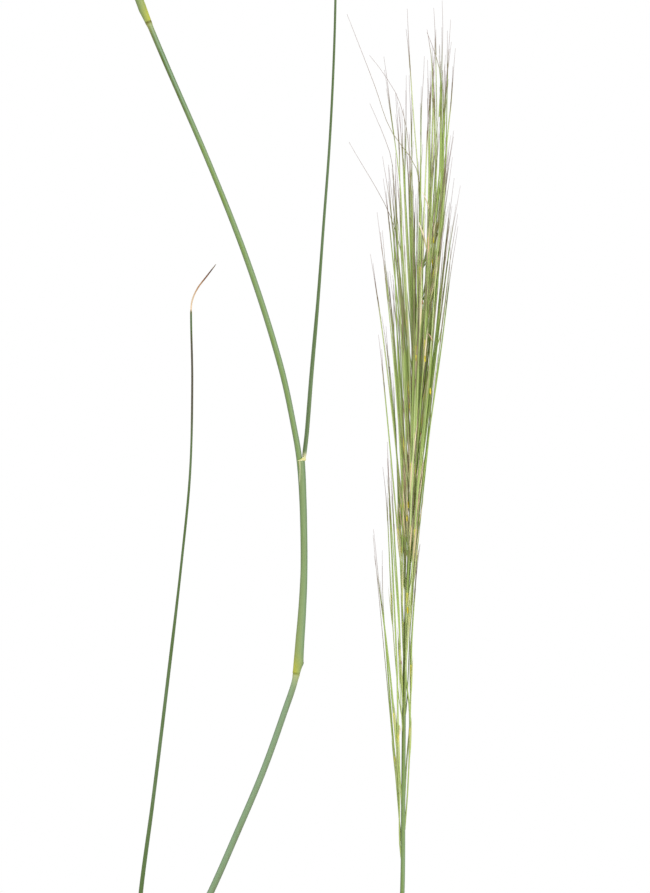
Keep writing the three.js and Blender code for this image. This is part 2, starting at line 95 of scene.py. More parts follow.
# %% Places on a stem and values along it
def middle_at(line, height):
    """The middle of a stem at a height, on a smooth line through its [x, y, z] points."""
    k = 0
    while k < len(line) - 2 and height > line[k + 1][2]:
        k += 1
    before = line[max(k - 1, 0)]
    start = line[k]
    end = line[k + 1]
    after = line[min(k + 2, len(line) - 1)]
    span = end[2] - start[2]
    u = (height - start[2]) / span
    place = []
    for axis in (0, 1):
        leaving = (end[axis] - before[axis]) / (end[2] - before[2]) * span
        arriving = (after[axis] - start[axis]) / (after[2] - start[2]) * span
        place.append(
            start[axis] * (2 * u**3 - 3 * u**2 + 1)
            + leaving * (u**3 - 2 * u**2 + u)
            + end[axis] * (3 * u**2 - 2 * u**3)
            + arriving * (u**3 - u**2)
        )
    return Vector((*place, height))


def flat_direction(turn):
    """The level direction that an angle points in, from above."""
    return Vector((math.cos(turn), math.sin(turn), 0))


def tangent_at(line, height):
    return (middle_at(line, height + 0.5) - middle_at(line, height - 0.5)).normalized()


def value_at(profile, at):
    """The value of a [[place, value], ...] profile, on straight stretches."""
    k = 0
    while k < len(profile) - 2 and at > profile[k + 1][0]:
        k += 1
    (start, low), (end, high) = profile[k], profile[k + 1]
    return mix(low, high, min(max((at - start) / (end - start), 0), 1))


def evenly(low, high, count):
    """Values from one to the other in a count of equal steps, both ends included."""
    return [mix(low, high, i / count) for i in range(count + 1)]


def heights_between(low, high, step):
    """Heights in equal steps of about the given size, both ends included."""
    return evenly(low, high, max(round((high - low) / step), 1))


def smooth_through(points, per_span):
    """More points on a smooth curve through a few of them, ends included."""
    fine = []
    for k in range(len(points) - 1):
        before = points[max(k - 1, 0)]
        start = points[k]
        end = points[k + 1]
        after = points[min(k + 2, len(points) - 1)]
        for i in range(per_span):
            u = i / per_span
            fine.append(
                start
                + (end - before) * (0.5 * u)
                + (before * 2 - start * 5 + end * 4 - after) * (0.5 * u**2)
                + (start * 3 - before - end * 3 + after) * (0.5 * u**3)
            )
    return [*fine, points[-1]]


print("midway between two points:", middle_at([[0, 0, 0], [4, 0, 10], [6, 0, 20]], 5)[:])

# %% [markdown]
# ## The middle lines
# These are the points of the CAD model, so each fine piece lies where its plain stand-in lies,
# though some are set up to half a millimetre closer to the real plant. The left culm carries the
# nodes, the collar and the blade that are seen best; the right culm carries the head in full view;
# the outer culm fills out the tuft.

# %% The stems, each a smooth line through [x, y, z] in millimetres
LEFT_LINE = [
    [-29, 6, 98],
    [-29, 6, 114],
    [-31, 5.5, 150],
    [-36, 3, 200],
    [-36.5, 1, 240],
    [-33, 0, 249],
    [-26.12, 0, 262],
    [-17.13, 0, 282.3],
    [-8.68, 0, 302.2],
    [-1.48, 0, 322.2],
    [2.3, 0, 334],
    [3.83, 0, 348],
    [4.79, 0, 366],
    [4.73, 0, 385],
    [3.8, 0, 403],
    [2.23, 0, 414],
    [-2.86, 0, 437.6],
    [-13.36, 0, 470.9],
    [-26.3, 0, 504.1],
    [-40.7, 0, 537.4],
    [-49.68, 0, 558.5],
    [-62, -3, 586],
    [-76, -8, 616],
    [-92, -15, 646],
    [-112, -24, 680],
    [-134, -34, 712],
    [-158, -45, 742],
    [-184, -57, 769],
]
RIGHT_LINE = [
    [25, -5, 98],
    [25, -5, 114],
    [28, -4.5, 150],
    [33, -3, 200],
    [36, -1, 232],
    [37.7, 0, 262],
    [38, 0, 290],
    [38.3, 0, 326],
    [38.9, 0, 352.8],
    [40.6, 0, 385],
    [42.6, 0, 422.7],
    [43.6, 0, 446],
    [44.3, 0, 480],
    [45.6, 0, 520],
    [47.5, 0, 560],
]
OUTER_LINE = [
    [28, 12, 98],
    [28, 12, 113],
    [30, 12.5, 120],
    [44, 15, 143],
    [72, 20, 180],
    [104, 27, 214],
    [130, 33, 246],
    [141, 38, 285],
    [149, 42, 330],
    [157, 47, 380],
    [167, 52, 430],
    [178, 57, 480],
    [191, 63, 530],
    [207, 70, 580],
]
TALL_LEAF_LINE = [
    [-27, -9, 98],
    [-27, -9, 114],
    [-33, -8, 140],
    [-43, -5, 172],
    [-50, -2, 210],
    [-51, 0, 240],
    [-49.25, 0, 262.3],
    [-45.27, 0, 292.3],
    [-40.36, 0, 332.2],
    [-35.71, 0, 372.1],
    [-32.86, 0, 402],
    [-32.15, 0, 432],
    [-32.55, 0, 455.4],
    [-32.13, 0, 459.2],
    [-30.32, 0, 463.2],
    [-27.28, 0, 467.2],
    [-24.2, 0, 471.2],
]
COLLAR_BLADE_LINE = [
    [5.5, 0, 407.6],
    [5.95, 0, 415],
    [7.48, 0, 434.3],
    [9.66, 0, 459.2],
    [11.52, 0, 484.2],
    [13.38, 0, 509.1],
    [14.71, 0, 534.1],
    [15.47, 0, 559],
    [15.7, -2, 590],
    [14.9, -5, 622],
]
print("left culm's length, mm:", round(sum(
    (Vector(b) - Vector(a)).length for a, b in zip(LEFT_LINE, LEFT_LINE[1:])
)))

# %% [markdown]
# ## One tree that sweeps a section along many lines
# A culm, a rolled blade, a glume and an awn differ only in their section and in how thick they are
# along the way. So one Geometry Nodes tree makes them all. A skeleton mesh of bare edges carries
# the half width and the facing direction of each point, and the tree sweeps a circle along it.
# Three inputs turn the circle into other sections: Thickness flattens it, Curl bends it into the
# crescent of a glume, and Groove presses the furrow of a rolled leaf into the side it faces.
# Whatever else the skeleton carries, such as how dry a point is, ends up on the surface, where the
# materials read it. That keeps colour on the plant itself, with no texture to stretch.

# %% Small helpers that keep node trees readable
def add(tree, kind, **settings):
    node = tree.nodes.new(kind)
    for key, value in settings.items():
        setattr(node, key, value)
    return node


def feed(tree, target, source):
    """Joins a socket to another, or sets it to a plain value."""
    if isinstance(source, bpy.types.NodeSocket):
        tree.links.new(source, target)
    else:
        target.default_value = source


def maths(tree, operation, *values):
    node = add(tree, "ShaderNodeMath", operation=operation)
    for socket, value in zip(node.inputs, values):
        feed(tree, socket, value)
    return node.outputs[0]


def new_tree(name, kind, inputs, outputs):
    """A node tree with named sockets: [(name, socket type, value), ...]."""
    tree = bpy.data.node_groups.new(name, kind)
    for title, socket_type, value in inputs:
        socket = tree.interface.new_socket(title, in_out="INPUT", socket_type=socket_type)
        if value is not None:
            socket.default_value = value
    for title, socket_type in outputs:
        tree.interface.new_socket(title, in_out="OUTPUT", socket_type=socket_type)
    return tree, add(tree, "NodeGroupInput").outputs, add(tree, "NodeGroupOutput").inputs


def carried(tree, name, data_type="FLOAT"):
    """The value of that name that the geometry carries."""
    node = add(tree, "GeometryNodeInputNamedAttribute", data_type=data_type)
    node.inputs["Name"].default_value = name
    return node.outputs["Attribute"]


def real_and_dressed(tree, geometry, finish):
    """The end of each geometry tree: real mesh, in its material."""
    real = add(tree, "GeometryNodeRealizeInstances")
    feed(tree, real.inputs["Geometry"], geometry)
    dressed = add(tree, "GeometryNodeSetMaterial")
    feed(tree, dressed.inputs["Geometry"], real.outputs["Geometry"])
    feed(tree, dressed.inputs["Material"], finish)
    return dressed.outputs["Geometry"]


# %% The sweep
def build_sweep():
    tree, given, result = new_tree(
        "Sweep strands",
        "GeometryNodeTree",
        [
            ("Skeleton", "NodeSocketGeometry", None),
            ("Sides", "NodeSocketInt", 8),
            ("Thickness", "NodeSocketFloat", 1.0),
            ("Curl", "NodeSocketFloat", 0.0),
            ("Groove", "NodeSocketFloat", 0.0),
            ("Finish", "NodeSocketMaterial", None),
        ],
        [("Mesh", "NodeSocketGeometry")],
    )
    rail = add(tree, "GeometryNodeMeshToCurve")
    feed(tree, rail.inputs["Mesh"], given["Skeleton"])
    facing = add(tree, "GeometryNodeSetCurveNormal", mode="FREE")
    feed(tree, facing.inputs["Curve"], rail.outputs["Curve"])
    feed(tree, facing.inputs["Normal"], carried(tree, "facing", "FLOAT_VECTOR"))

    circle = add(tree, "GeometryNodeCurvePrimitiveCircle")
    feed(tree, circle.inputs["Resolution"], given["Sides"])
    circle.inputs["Radius"].default_value = 1
    place = add(tree, "GeometryNodeInputPosition")
    kept = add(tree, "GeometryNodeStoreNamedAttribute", data_type="FLOAT_VECTOR")
    kept.inputs["Name"].default_value = "section"
    feed(tree, kept.inputs["Geometry"], circle.outputs["Curve"])
    feed(tree, kept.inputs["Value"], place.outputs["Position"])
    split = add(tree, "ShaderNodeSeparateXYZ")
    feed(tree, split.inputs[0], place.outputs["Position"])
    out, across = split.outputs["X"], split.outputs["Y"]
    crescent = maths(tree, "MULTIPLY", given["Curl"], maths(tree, "MULTIPLY", across, across))
    furrow = maths(tree, "POWER", maths(tree, "MAXIMUM", out, 0), 8)
    depth = maths(tree, "MULTIPLY", out, given["Thickness"])
    depth = maths(tree, "SUBTRACT", depth, crescent)
    depth = maths(tree, "SUBTRACT", depth, maths(tree, "MULTIPLY", given["Groove"], furrow))
    moved = add(tree, "ShaderNodeCombineXYZ")
    feed(tree, moved.inputs["X"], depth)
    feed(tree, moved.inputs["Y"], across)
    section = add(tree, "GeometryNodeSetPosition")
    feed(tree, section.inputs["Geometry"], kept.outputs["Geometry"])
    feed(tree, section.inputs["Position"], moved.outputs["Vector"])

    sweep = add(tree, "GeometryNodeCurveToMesh")
    feed(tree, sweep.inputs["Curve"], facing.outputs["Curve"])
    feed(tree, sweep.inputs["Profile Curve"], section.outputs["Geometry"])
    feed(tree, sweep.inputs["Scale"], carried(tree, "width"))
    sweep.inputs["Fill Caps"].default_value = True
    smooth = add(tree, "GeometryNodeSetShadeSmooth")
    feed(tree, smooth.inputs["Geometry"], sweep.outputs["Mesh"])
    feed(tree, result["Mesh"], real_and_dressed(tree, smooth.outputs["Geometry"], given["Finish"]))
    return tree


SWEEP = build_sweep()
print("sweep tree:", len(SWEEP.nodes), "nodes")


# %% Skeletons, and turning them into plain meshes
def strand(points, widths, facing, **marks):
    """One middle line in mm: half widths, the direction that its section faces, values to colour by."""
    count = len(points)
    lengths = [0.0]
    for a, b in zip(points, points[1:]):
        lengths.append(lengths[-1] + (b - a).length)
    fields = {"width": [width * MM for width in widths]}
    fields["along"] = [length / lengths[-1] for length in lengths]
    for name, value in marks.items():
        fields[name] = list(value) if isinstance(value, (list, tuple)) else [value] * count
    facings = facing if isinstance(facing, list) else [facing] * count
    return {"points": points, "facings": facings, "fields": fields}


def new_object(name, data):
    made = bpy.data.objects.new(name, data)
    bpy.context.collection.objects.link(made)
    return made


def skeleton(name, strands):
    points, edges, facings = [], [], []
    names = sorted({key for one in strands for key in one["fields"]})
    fields = {key: [] for key in names}
    for one in strands:
        start = len(points)
        count = len(one["points"])
        points += [point * MM for point in one["points"]]
        edges += [(start + i, start + i + 1) for i in range(count - 1)]
        facings += [value for facing in one["facings"] for value in facing]
        for key in names:
            fields[key] += one["fields"].get(key, [0.0] * count)
    mesh = bpy.data.meshes.new(name)
    mesh.from_pydata(points, edges, [])
    mesh.attributes.new("facing", "FLOAT_VECTOR", "POINT").data.foreach_set("vector", facings)
    for key in names:
        mesh.attributes.new(key, "FLOAT", "POINT").data.foreach_set("value", fields[key])
    return new_object(name, mesh)


def through_tree(piece, tree, **inputs):
    """Runs a Geometry Nodes tree on a piece and keeps the result as its plain mesh."""
    modifier = piece.modifiers.new(tree.name, "NODES")
    modifier.node_group = tree
    for item in tree.interface.items_tree:
        if item.in_out == "INPUT" and item.name in inputs:
            modifier[item.identifier] = inputs[item.name]
    result = piece.evaluated_get(bpy.context.evaluated_depsgraph_get())
    mesh = bpy.data.meshes.new_from_object(result)
    piece.modifiers.remove(modifier)
    piece.data = mesh
    return piece


def swept(name, strands, finish, sides=8, thickness=1.0, curl=0.0, groove=0.0):
    return through_tree(
        skeleton(name, strands),
        SWEEP,
        Sides=sides,
        Thickness=thickness,
        Curl=curl,
        Groove=groove,
        Finish=finish,
    )


def joined(name, parts):
    with bpy.context.temp_override(
        active_object=parts[0],
        object=parts[0],
        selected_objects=parts,
        selected_editable_objects=parts,
    ):
        bpy.ops.object.join()
    parts[0].name = name
    return parts[0]


def smooth_piece(name, mesh):
    """An object made of a bmesh, smooth and with its faces turned outwards."""
    bmesh.ops.recalc_face_normals(mesh, faces=mesh.faces)
    data = bpy.data.meshes.new(name)
    mesh.to_mesh(data)
    mesh.free()
    data.shade_smooth()
    return new_object(name, data)


def settle(piece, slot, *nodes):
    """A finished piece stands for its CAD nodes and rides on the part; the slot is not used."""
    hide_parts(*nodes)
    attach(piece, "root")
    triangles = sum(len(face.vertices) - 2 for face in piece.data.polygons)
    print(f"{piece.name}: {triangles} triangles")
    return piece


# %% [markdown]
# ## Finishes
# Four effects come back on many pieces, so each is a shader group with its own inputs. Fine ribs
# are the veins that run along every culm and leaf. Wax bloom is the grey film that makes the grass
# look blue where it hasn't been rubbed. Drying turns green to straw and then to brown. Mottle is
# the uneven tone of clay, soil and old straw.
# A group only puts out a mask or a colour. The Principled shader stays in the material.

# %% Colours and shader helpers
def paint(red, green, blue):
    """A colour as seen on a screen, 0 to 255, as the linear colour that shaders need."""
    channels = []
    for value in (red, green, blue):
        share = value / 255
        channels.append(share / 12.92 if share <= 0.04045 else ((share + 0.055) / 1.055) ** 2.4)
    return (*channels, 1.0)


def blend(tree, factor, first, second, mode="MIX"):
    node = add(tree, "ShaderNodeMix", data_type="RGBA", blend_type=mode)
    feed(tree, node.inputs[0], factor)
    feed(tree, node.inputs[6], first)
    feed(tree, node.inputs[7], second)
    return node.outputs[2]


def ramp(tree, factor, stops):
    """A colour that changes with a factor: [(place, colour), ...]."""
    node = add(tree, "ShaderNodeValToRGB")
    elements = node.color_ramp.elements
    while len(elements) < len(stops):
        elements.new(0.5)
    for element, (place, colour) in zip(elements, stops):
        element.position = place
        element.color = colour
    feed(tree, node.inputs["Fac"], factor)
    return node.outputs["Color"]


def attribute(tree, name):
    node = add(tree, "ShaderNodeAttribute", attribute_name=name)
    return node.outputs


def noise_at(tree, vector, scale, detail=3.0, roughness=0.55):
    node = add(tree, "ShaderNodeTexNoise")
    feed(tree, node.inputs["Vector"], vector)
    feed(tree, node.inputs["Scale"], scale)
    node.inputs["Detail"].default_value = detail
    node.inputs["Roughness"].default_value = roughness
    return node.outputs["Fac"]


def stretched(tree, vector, factors):
    node = add(tree, "ShaderNodeMapping")
    feed(tree, node.inputs["Vector"], vector)
    feed(tree, node.inputs["Scale"], factors)
    return node.outputs["Vector"]


def between(tree, value, low, high):
    """0 below low, 1 above high, smooth between."""
    node = add(tree, "ShaderNodeMapRange", interpolation_type="SMOOTHSTEP")
    feed(tree, node.inputs["Value"], value)
    feed(tree, node.inputs["From Min"], low)
    feed(tree, node.inputs["From Max"], high)
    return node.outputs["Result"]


print("half grey on a screen, as light:", round(paint(128, 128, 128)[0], 3))


# %% The shared effects
def build_ribs():
    tree, given, result = new_tree(
        "Fine ribs",
        "ShaderNodeTree",
        [
            ("Section", "NodeSocketVector", None),
            ("Count", "NodeSocketFloat", 12.0),
            ("Along", "NodeSocketFloat", 0.0),
            ("Twist", "NodeSocketFloat", 0.0),
        ],
        [("Mask", "NodeSocketFloat")],
    )
    split = add(tree, "ShaderNodeSeparateXYZ")
    feed(tree, split.inputs[0], given["Section"])
    angle = maths(tree, "ARCTAN2", split.outputs["Y"], split.outputs["X"])
    angle = maths(tree, "MULTIPLY_ADD", given["Along"], given["Twist"], angle)
    wave = maths(tree, "SINE", maths(tree, "MULTIPLY", angle, given["Count"]))
    feed(tree, result["Mask"], maths(tree, "MULTIPLY_ADD", wave, 0.5, 0.5))
    return tree


def build_bloom():
    tree, given, result = new_tree(
        "Wax bloom",
        "ShaderNodeTree",
        [("Place", "NodeSocketVector", None), ("Amount", "NodeSocketFloat", 0.5)],
        [("Mask", "NodeSocketFloat")],
    )
    long_streaks = noise_at(tree, stretched(tree, given["Place"], (900, 900, 60)), 1.0)
    rubbed = noise_at(tree, stretched(tree, given["Place"], (120, 120, 25)), 1.0)
    both = maths(tree, "MULTIPLY", maths(tree, "ADD", long_streaks, rubbed), 0.5)
    mask = between(tree, both, 0.38, 0.62)
    feed(tree, result["Mask"], maths(tree, "MULTIPLY", mask, given["Amount"]))
    return tree


def build_drying():
    tree, given, result = new_tree(
        "Drying",
        "ShaderNodeTree",
        [
            ("Green", "NodeSocketColor", paint(100, 120, 70)),
            ("Dry", "NodeSocketFloat", 0.0),
            ("Place", "NodeSocketVector", None),
        ],
        [("Colour", "NodeSocketColor")],
    )
    streak = noise_at(tree, stretched(tree, given["Place"], (700, 700, 90)), 1.0)
    uneven = maths(tree, "MULTIPLY_ADD", maths(tree, "SUBTRACT", streak, 0.5), 0.35, given["Dry"])
    dead = ramp(
        tree,
        uneven,
        [
            (0.1, paint(226, 200, 168)),
            (0.35, paint(206, 180, 146)),
            (0.6, paint(172, 132, 92)),
            (0.78, paint(112, 74, 50)),
            (0.87, paint(58, 42, 36)),
            (0.93, paint(96, 78, 62)),
            (0.99, paint(196, 174, 138)),
        ],
    )
    turned = blend(tree, between(tree, uneven, 0.06, 0.2), given["Green"], dead)
    feed(tree, result["Colour"], blend(tree, between(tree, given["Dry"], 0, 0.02), given["Green"], turned))
    return tree


def build_mottle():
    tree, given, result = new_tree(
        "Mottle",
        "ShaderNodeTree",
        [
            ("Place", "NodeSocketVector", None),
            ("Scale", "NodeSocketFloat", 40.0),
            ("Dark", "NodeSocketColor", paint(90, 60, 40)),
            ("Light", "NodeSocketColor", paint(150, 110, 80)),
        ],
        [("Colour", "NodeSocketColor"), ("Mask", "NodeSocketFloat")],
    )
    mask = between(tree, noise_at(tree, given["Place"], given["Scale"], 6, 0.6), 0.35, 0.68)
    feed(tree, result["Colour"], blend(tree, mask, given["Dark"], given["Light"]))
    feed(tree, result["Mask"], mask)
    return tree


RIBS = build_ribs()
BLOOM = build_bloom()
DRYING = build_drying()
MOTTLE = build_mottle()
print("shared effects:", [tree.name for tree in (RIBS, BLOOM, DRYING, MOTTLE)])


# %% Starting a material and placing the shared effects in it
def new_material(name, roughness, specular=0.3):
    material = bpy.data.materials.new(name)
    material.use_nodes = True
    tree = material.node_tree
    shader = tree.nodes["Principled BSDF"]
    shader.inputs["Roughness"].default_value = roughness
    shader.inputs["Specular IOR Level"].default_value = specular
    place = add(tree, "ShaderNodeTexCoord").outputs["Object"]
    return material, tree, shader.inputs, place


def effect(tree, group, **inputs):
    node = add(tree, "ShaderNodeGroup", node_tree=group)
    for name, value in inputs.items():
        feed(tree, node.inputs[name], value)
    return node.outputs


def bump(tree, height, distance, strength=0.5):
    node = add(tree, "ShaderNodeBump")
    node.inputs["Strength"].default_value = strength
    node.inputs["Distance"].default_value = distance
    feed(tree, node.inputs["Height"], height)
    return node.outputs["Normal"]


def ribs_round(tree, count, **winding):
    """The ribs of a swept piece: how many run round it, and how they wind."""
    section = attribute(tree, "section")["Vector"]
    return effect(tree, RIBS, Section=section, Count=count, **winding)["Mask"]


def side_of(tree):
    """How far to the right of its stem a point lies, from 0 at the left edge to 1 at the right."""
    split = add(tree, "ShaderNodeSeparateXYZ")
    feed(tree, split.inputs[0], attribute(tree, "section")["Vector"])
    return maths(tree, "MULTIPLY_ADD", split.outputs["Y"], -0.5, 0.5)


# %% [markdown]
# ### Green stems
# The culm isn't one green. Its colours across it are partly its own and partly painted light. Its
# left edge is dark olive, partly painted shade, its middle a fresh grass green and its right side
# grey with wax and partly painted light, with both edges darker as painted shade. Fine ribs run
# all the way. A sheath is paler and yellower, most of all just above the node it grows from, with
# the same painted shade across it, and its free margin is thin and almost white. A ring of dark
# olive marks each node. The skeleton says where those zones lie.

# %% Culm, sheath and node
# Across the upper culm, left edge to right: the dark olive left and dark edges are partly painted shade,
# the pale middle right partly painted light.
YOUNG_ACROSS = [
    (0.02, paint(84, 90, 46)),
    (0.2, paint(78, 96, 28)),
    (0.38, paint(86, 110, 48)),
    (0.56, paint(120, 147, 114)),
    (0.74, paint(118, 142, 104)),
    (0.9, paint(90, 115, 72)),
]


def stem_material(name, across, wax, bloom_amount):
    """A stem whose colours are given across it, dark left to dark right edge, partly painted shade and
    light.
    """
    material, tree, shader, place = new_material(name, 0.48)
    side = side_of(tree)
    young = attribute(tree, "young")["Fac"]
    # Colour by side: the stem's own greens, with painted shade at both edges and on the left and painted
    # light on the pale right.
    colour = blend(tree, young, ramp(tree, side, across), ramp(tree, side, YOUNG_ACROSS))
    ribs = ribs_round(tree, 14.0)
    colour = blend(tree, maths(tree, "MULTIPLY", ribs, 0.16), colour, across[0][1])
    bloom = effect(tree, BLOOM, Place=place, Amount=bloom_amount)["Mask"]
    colour = blend(tree, bloom, colour, wax)
    colour = blend(tree, attribute(tree, "yellow")["Fac"], colour, paint(166, 170, 66))
    colour = blend(tree, attribute(tree, "margin")["Fac"], colour, paint(218, 217, 178))
    colour = blend(tree, attribute(tree, "ring")["Fac"], colour, paint(96, 94, 26))
    straw = effect(tree, DRYING, Green=colour, Dry=attribute(tree, "dry")["Fac"], Place=place)
    feed(tree, shader["Base Color"], straw["Colour"])
    feed(tree, shader["Roughness"], maths(tree, "MULTIPLY_ADD", bloom, 0.3, 0.42))
    feed(tree, shader["Normal"], bump(tree, ribs, 0.00006))
    return material


# Each ramp runs from the left edge to the right; its dark ends are painted shade and its pale right
# stretch is partly painted light, over the stem's own colour.
CULM = stem_material(
    "culm",
    [
        (0.02, paint(84, 102, 64)),
        (0.14, paint(104, 125, 74)),
        (0.32, paint(112, 138, 60)),
        (0.5, paint(116, 140, 72)),
        (0.72, paint(126, 150, 102)),
        (0.9, paint(116, 138, 96)),
        (0.99, paint(88, 106, 74)),
    ],
    paint(128, 152, 116),
    0.35,
)
CULM_WAXY = stem_material(
    "culm_waxy",
    [
        (0.02, paint(104, 124, 92)),
        (0.15, paint(124, 149, 114)),
        (0.4, paint(117, 143, 105)),
        (0.65, paint(115, 135, 96)),
        (0.85, paint(106, 124, 88)),
        (0.99, paint(84, 98, 74)),
    ],
    paint(128, 152, 120),
    0.45,
)
SHEATH = stem_material(
    "sheath",
    [
        (0.02, paint(94, 112, 70)),
        (0.15, paint(114, 134, 80)),
        (0.4, paint(123, 144, 92)),
        (0.62, paint(125, 144, 97)),
        (0.8, paint(118, 142, 102)),
        (0.92, paint(98, 122, 78)),
        (0.99, paint(82, 102, 66)),
    ],
    paint(126, 151, 112),
    0.4,
)
print("stem finishes:", CULM.name, CULM_WAXY.name, SHEATH.name)


# %% Rolled leaf blades
def blade_material():
    material, tree, shader, place = new_material("blade", 0.5)
    along = attribute(tree, "along")["Fac"]
    green = ramp(
        tree,
        along,
        [(0.0, paint(102, 123, 84)), (0.3, paint(82, 106, 58)), (1.0, paint(66, 88, 38))],
    )
    tint = attribute(tree, "tint")["Fac"]
    green = blend(tree, maths(tree, "MULTIPLY", tint, 0.65), green, paint(114, 134, 60))
    ribs = ribs_round(tree, 9.0)
    green = blend(tree, maths(tree, "MULTIPLY", ribs, 0.25), green, paint(66, 84, 44))
    bloom = effect(tree, BLOOM, Place=place, Amount=0.25)["Mask"]
    green = blend(tree, bloom, green, paint(118, 141, 110))
    green = blend(tree, attribute(tree, "bronze")["Fac"], green, paint(78, 68, 58))
    green = blend(tree, attribute(tree, "margin")["Fac"], green, paint(224, 218, 172))
    dry = effect(tree, DRYING, Green=green, Dry=attribute(tree, "dry")["Fac"], Place=place)["Colour"]
    dry = blend(tree, attribute(tree, "scar")["Fac"], dry, paint(104, 88, 28))
    feed(tree, shader["Base Color"], dry)
    feed(tree, shader["Roughness"], maths(tree, "MULTIPLY_ADD", bloom, 0.4, 0.45))
    feed(tree, shader["Normal"], bump(tree, ribs, 0.00005))
    return material


BLADE = blade_material()
print("leaf finish:", BLADE.name)

# %% [markdown]
# ### The bristly heads
# A spikelet has four finishes. The glumes are papery: pale green in the middle, cream and almost
# clear at their long tips, with a flush of purple and tan. The floret and its column are the fresh
# green that gives the head its colour, with a pale yellow joint where the column breaks off when
# ripe. The awns go from green to purple-brown as they thin out. The anthers are plain bright
# yellow, and a few have withered to rust.

# %% Glume, column, awn and anther
def glume_material():
    material, tree, shader, place = new_material("glume", 0.55)
    along = attribute(tree, "along")["Fac"]
    middle = ramp(
        tree,
        along,
        [
            (0.0, paint(176, 184, 112)),
            (0.3, paint(208, 200, 150)),
            (0.6, paint(230, 210, 178)),
            (1.0, paint(238, 224, 208)),
        ],
    )
    flush = between(tree, attribute(tree, "tint")["Fac"], 0.35, 0.9)
    middle = blend(tree, maths(tree, "MULTIPLY", flush, 0.65), middle, paint(198, 142, 116))
    split = add(tree, "ShaderNodeSeparateXYZ")
    feed(tree, split.inputs[0], attribute(tree, "section")["Vector"])
    middle = blend(tree, attribute(tree, "green")["Fac"], middle, paint(164, 186, 92))
    edge = between(tree, maths(tree, "ABSOLUTE", split.outputs["Y"]), 0.6, 0.98)
    colour = blend(tree, maths(tree, "MULTIPLY", edge, 0.7), middle, paint(216, 212, 186))
    ribs = ribs_round(tree, 6.0)
    colour = blend(tree, maths(tree, "MULTIPLY", ribs, 0.2), colour, paint(132, 148, 84))
    feed(tree, shader["Base Color"], colour)
    feed(tree, shader["Roughness"], noise_at(tree, stretched(tree, place, (400, 400, 60)), 1.0))
    return material


def bristle_material():
    material, tree, shader, place = new_material("bristle", 0.5, 0.12)
    stage = attribute(tree, "stage")["Fac"]
    colour = ramp(
        tree,
        stage,
        [
            (0.0, paint(158, 175, 106)),
            (0.155, paint(178, 193, 118)),
            (0.18, paint(230, 222, 104)),
            (0.215, paint(176, 195, 118)),
            (0.5, paint(160, 182, 104)),
            (0.7, paint(153, 175, 96)),
        ],
    )
    tint = attribute(tree, "tint")["Fac"]
    # A high tint gives deep green, in part painted shade on the inner strands; a low tint gives pale.
    colour = blend(tree, between(tree, tint, 0.58, 0.92), colour, paint(88, 112, 34))
    colour = blend(tree, between(tree, tint, 0.5, 0.2), colour, paint(202, 213, 156))
    streak = noise_at(tree, stretched(tree, place, (900, 900, 50)), 1.0)
    pale = maths(tree, "MULTIPLY", between(tree, streak, 0.5, 0.8), 0.5)
    colour = blend(tree, pale, colour, paint(188, 201, 136))
    rope = ribs_round(tree, 2.0, Along=stage, Twist=260.0)
    colour = blend(tree, maths(tree, "MULTIPLY", rope, 0.2), colour, paint(96, 112, 54))
    colour = blend(tree, between(tree, stage, 0.72, 0.92), colour, paint(140, 116, 108))
    colour = blend(tree, attribute(tree, "knot")["Fac"], colour, paint(98, 76, 66))
    feed(tree, shader["Base Color"], colour)
    feed(tree, shader["Roughness"], maths(tree, "MULTIPLY_ADD", streak, 0.3, 0.35))
    return material


def speckled(name, dark, light, scale, roughness=0.6):
    material, tree, shader, place = new_material(name, roughness)
    mottle = effect(tree, MOTTLE, Place=place, Scale=scale, Dark=dark, Light=light)
    feed(tree, shader["Base Color"], mottle["Colour"])
    feed(tree, shader["Normal"], bump(tree, mottle["Mask"], 0.0001))
    return material


GLUME = glume_material()
BRISTLE = bristle_material()
ANTHER = speckled("anther", paint(186, 168, 24), paint(226, 214, 60), 900.0)
WITHERED = speckled("withered_anther", paint(120, 74, 40), paint(176, 124, 74), 900.0)
CREAM = speckled("ligule_hair", paint(220, 212, 168), paint(240, 235, 205), 1200.0)
COLLAR = speckled("collar", paint(204, 196, 120), paint(236, 238, 198), 900.0)
STRAW = speckled("old_straw", paint(150, 122, 84), paint(205, 184, 142), 120.0)
print("head finishes:", GLUME.name, BRISTLE.name, ANTHER.name)

# %% [markdown]
# ### Clay, soil and floor
# A fired clay pot that has been watered for a while is never one orange. It has cloudy darker and
# lighter patches from the kiln, a chalky white bloom of lime where water dries out, mostly low on
# the wall and along the rim, a damp dark foot, and fine pits. Potting mix is nearly black peat with
# brown bark, grey grit and white perlite, each with a finish of its own.

# %% Terracotta
LIME_FADES = (12 * MM, 75 * MM)
LIP_LIME = (112 * MM, 126 * MM)
DAMP_FADES = (1 * MM, 16 * MM)


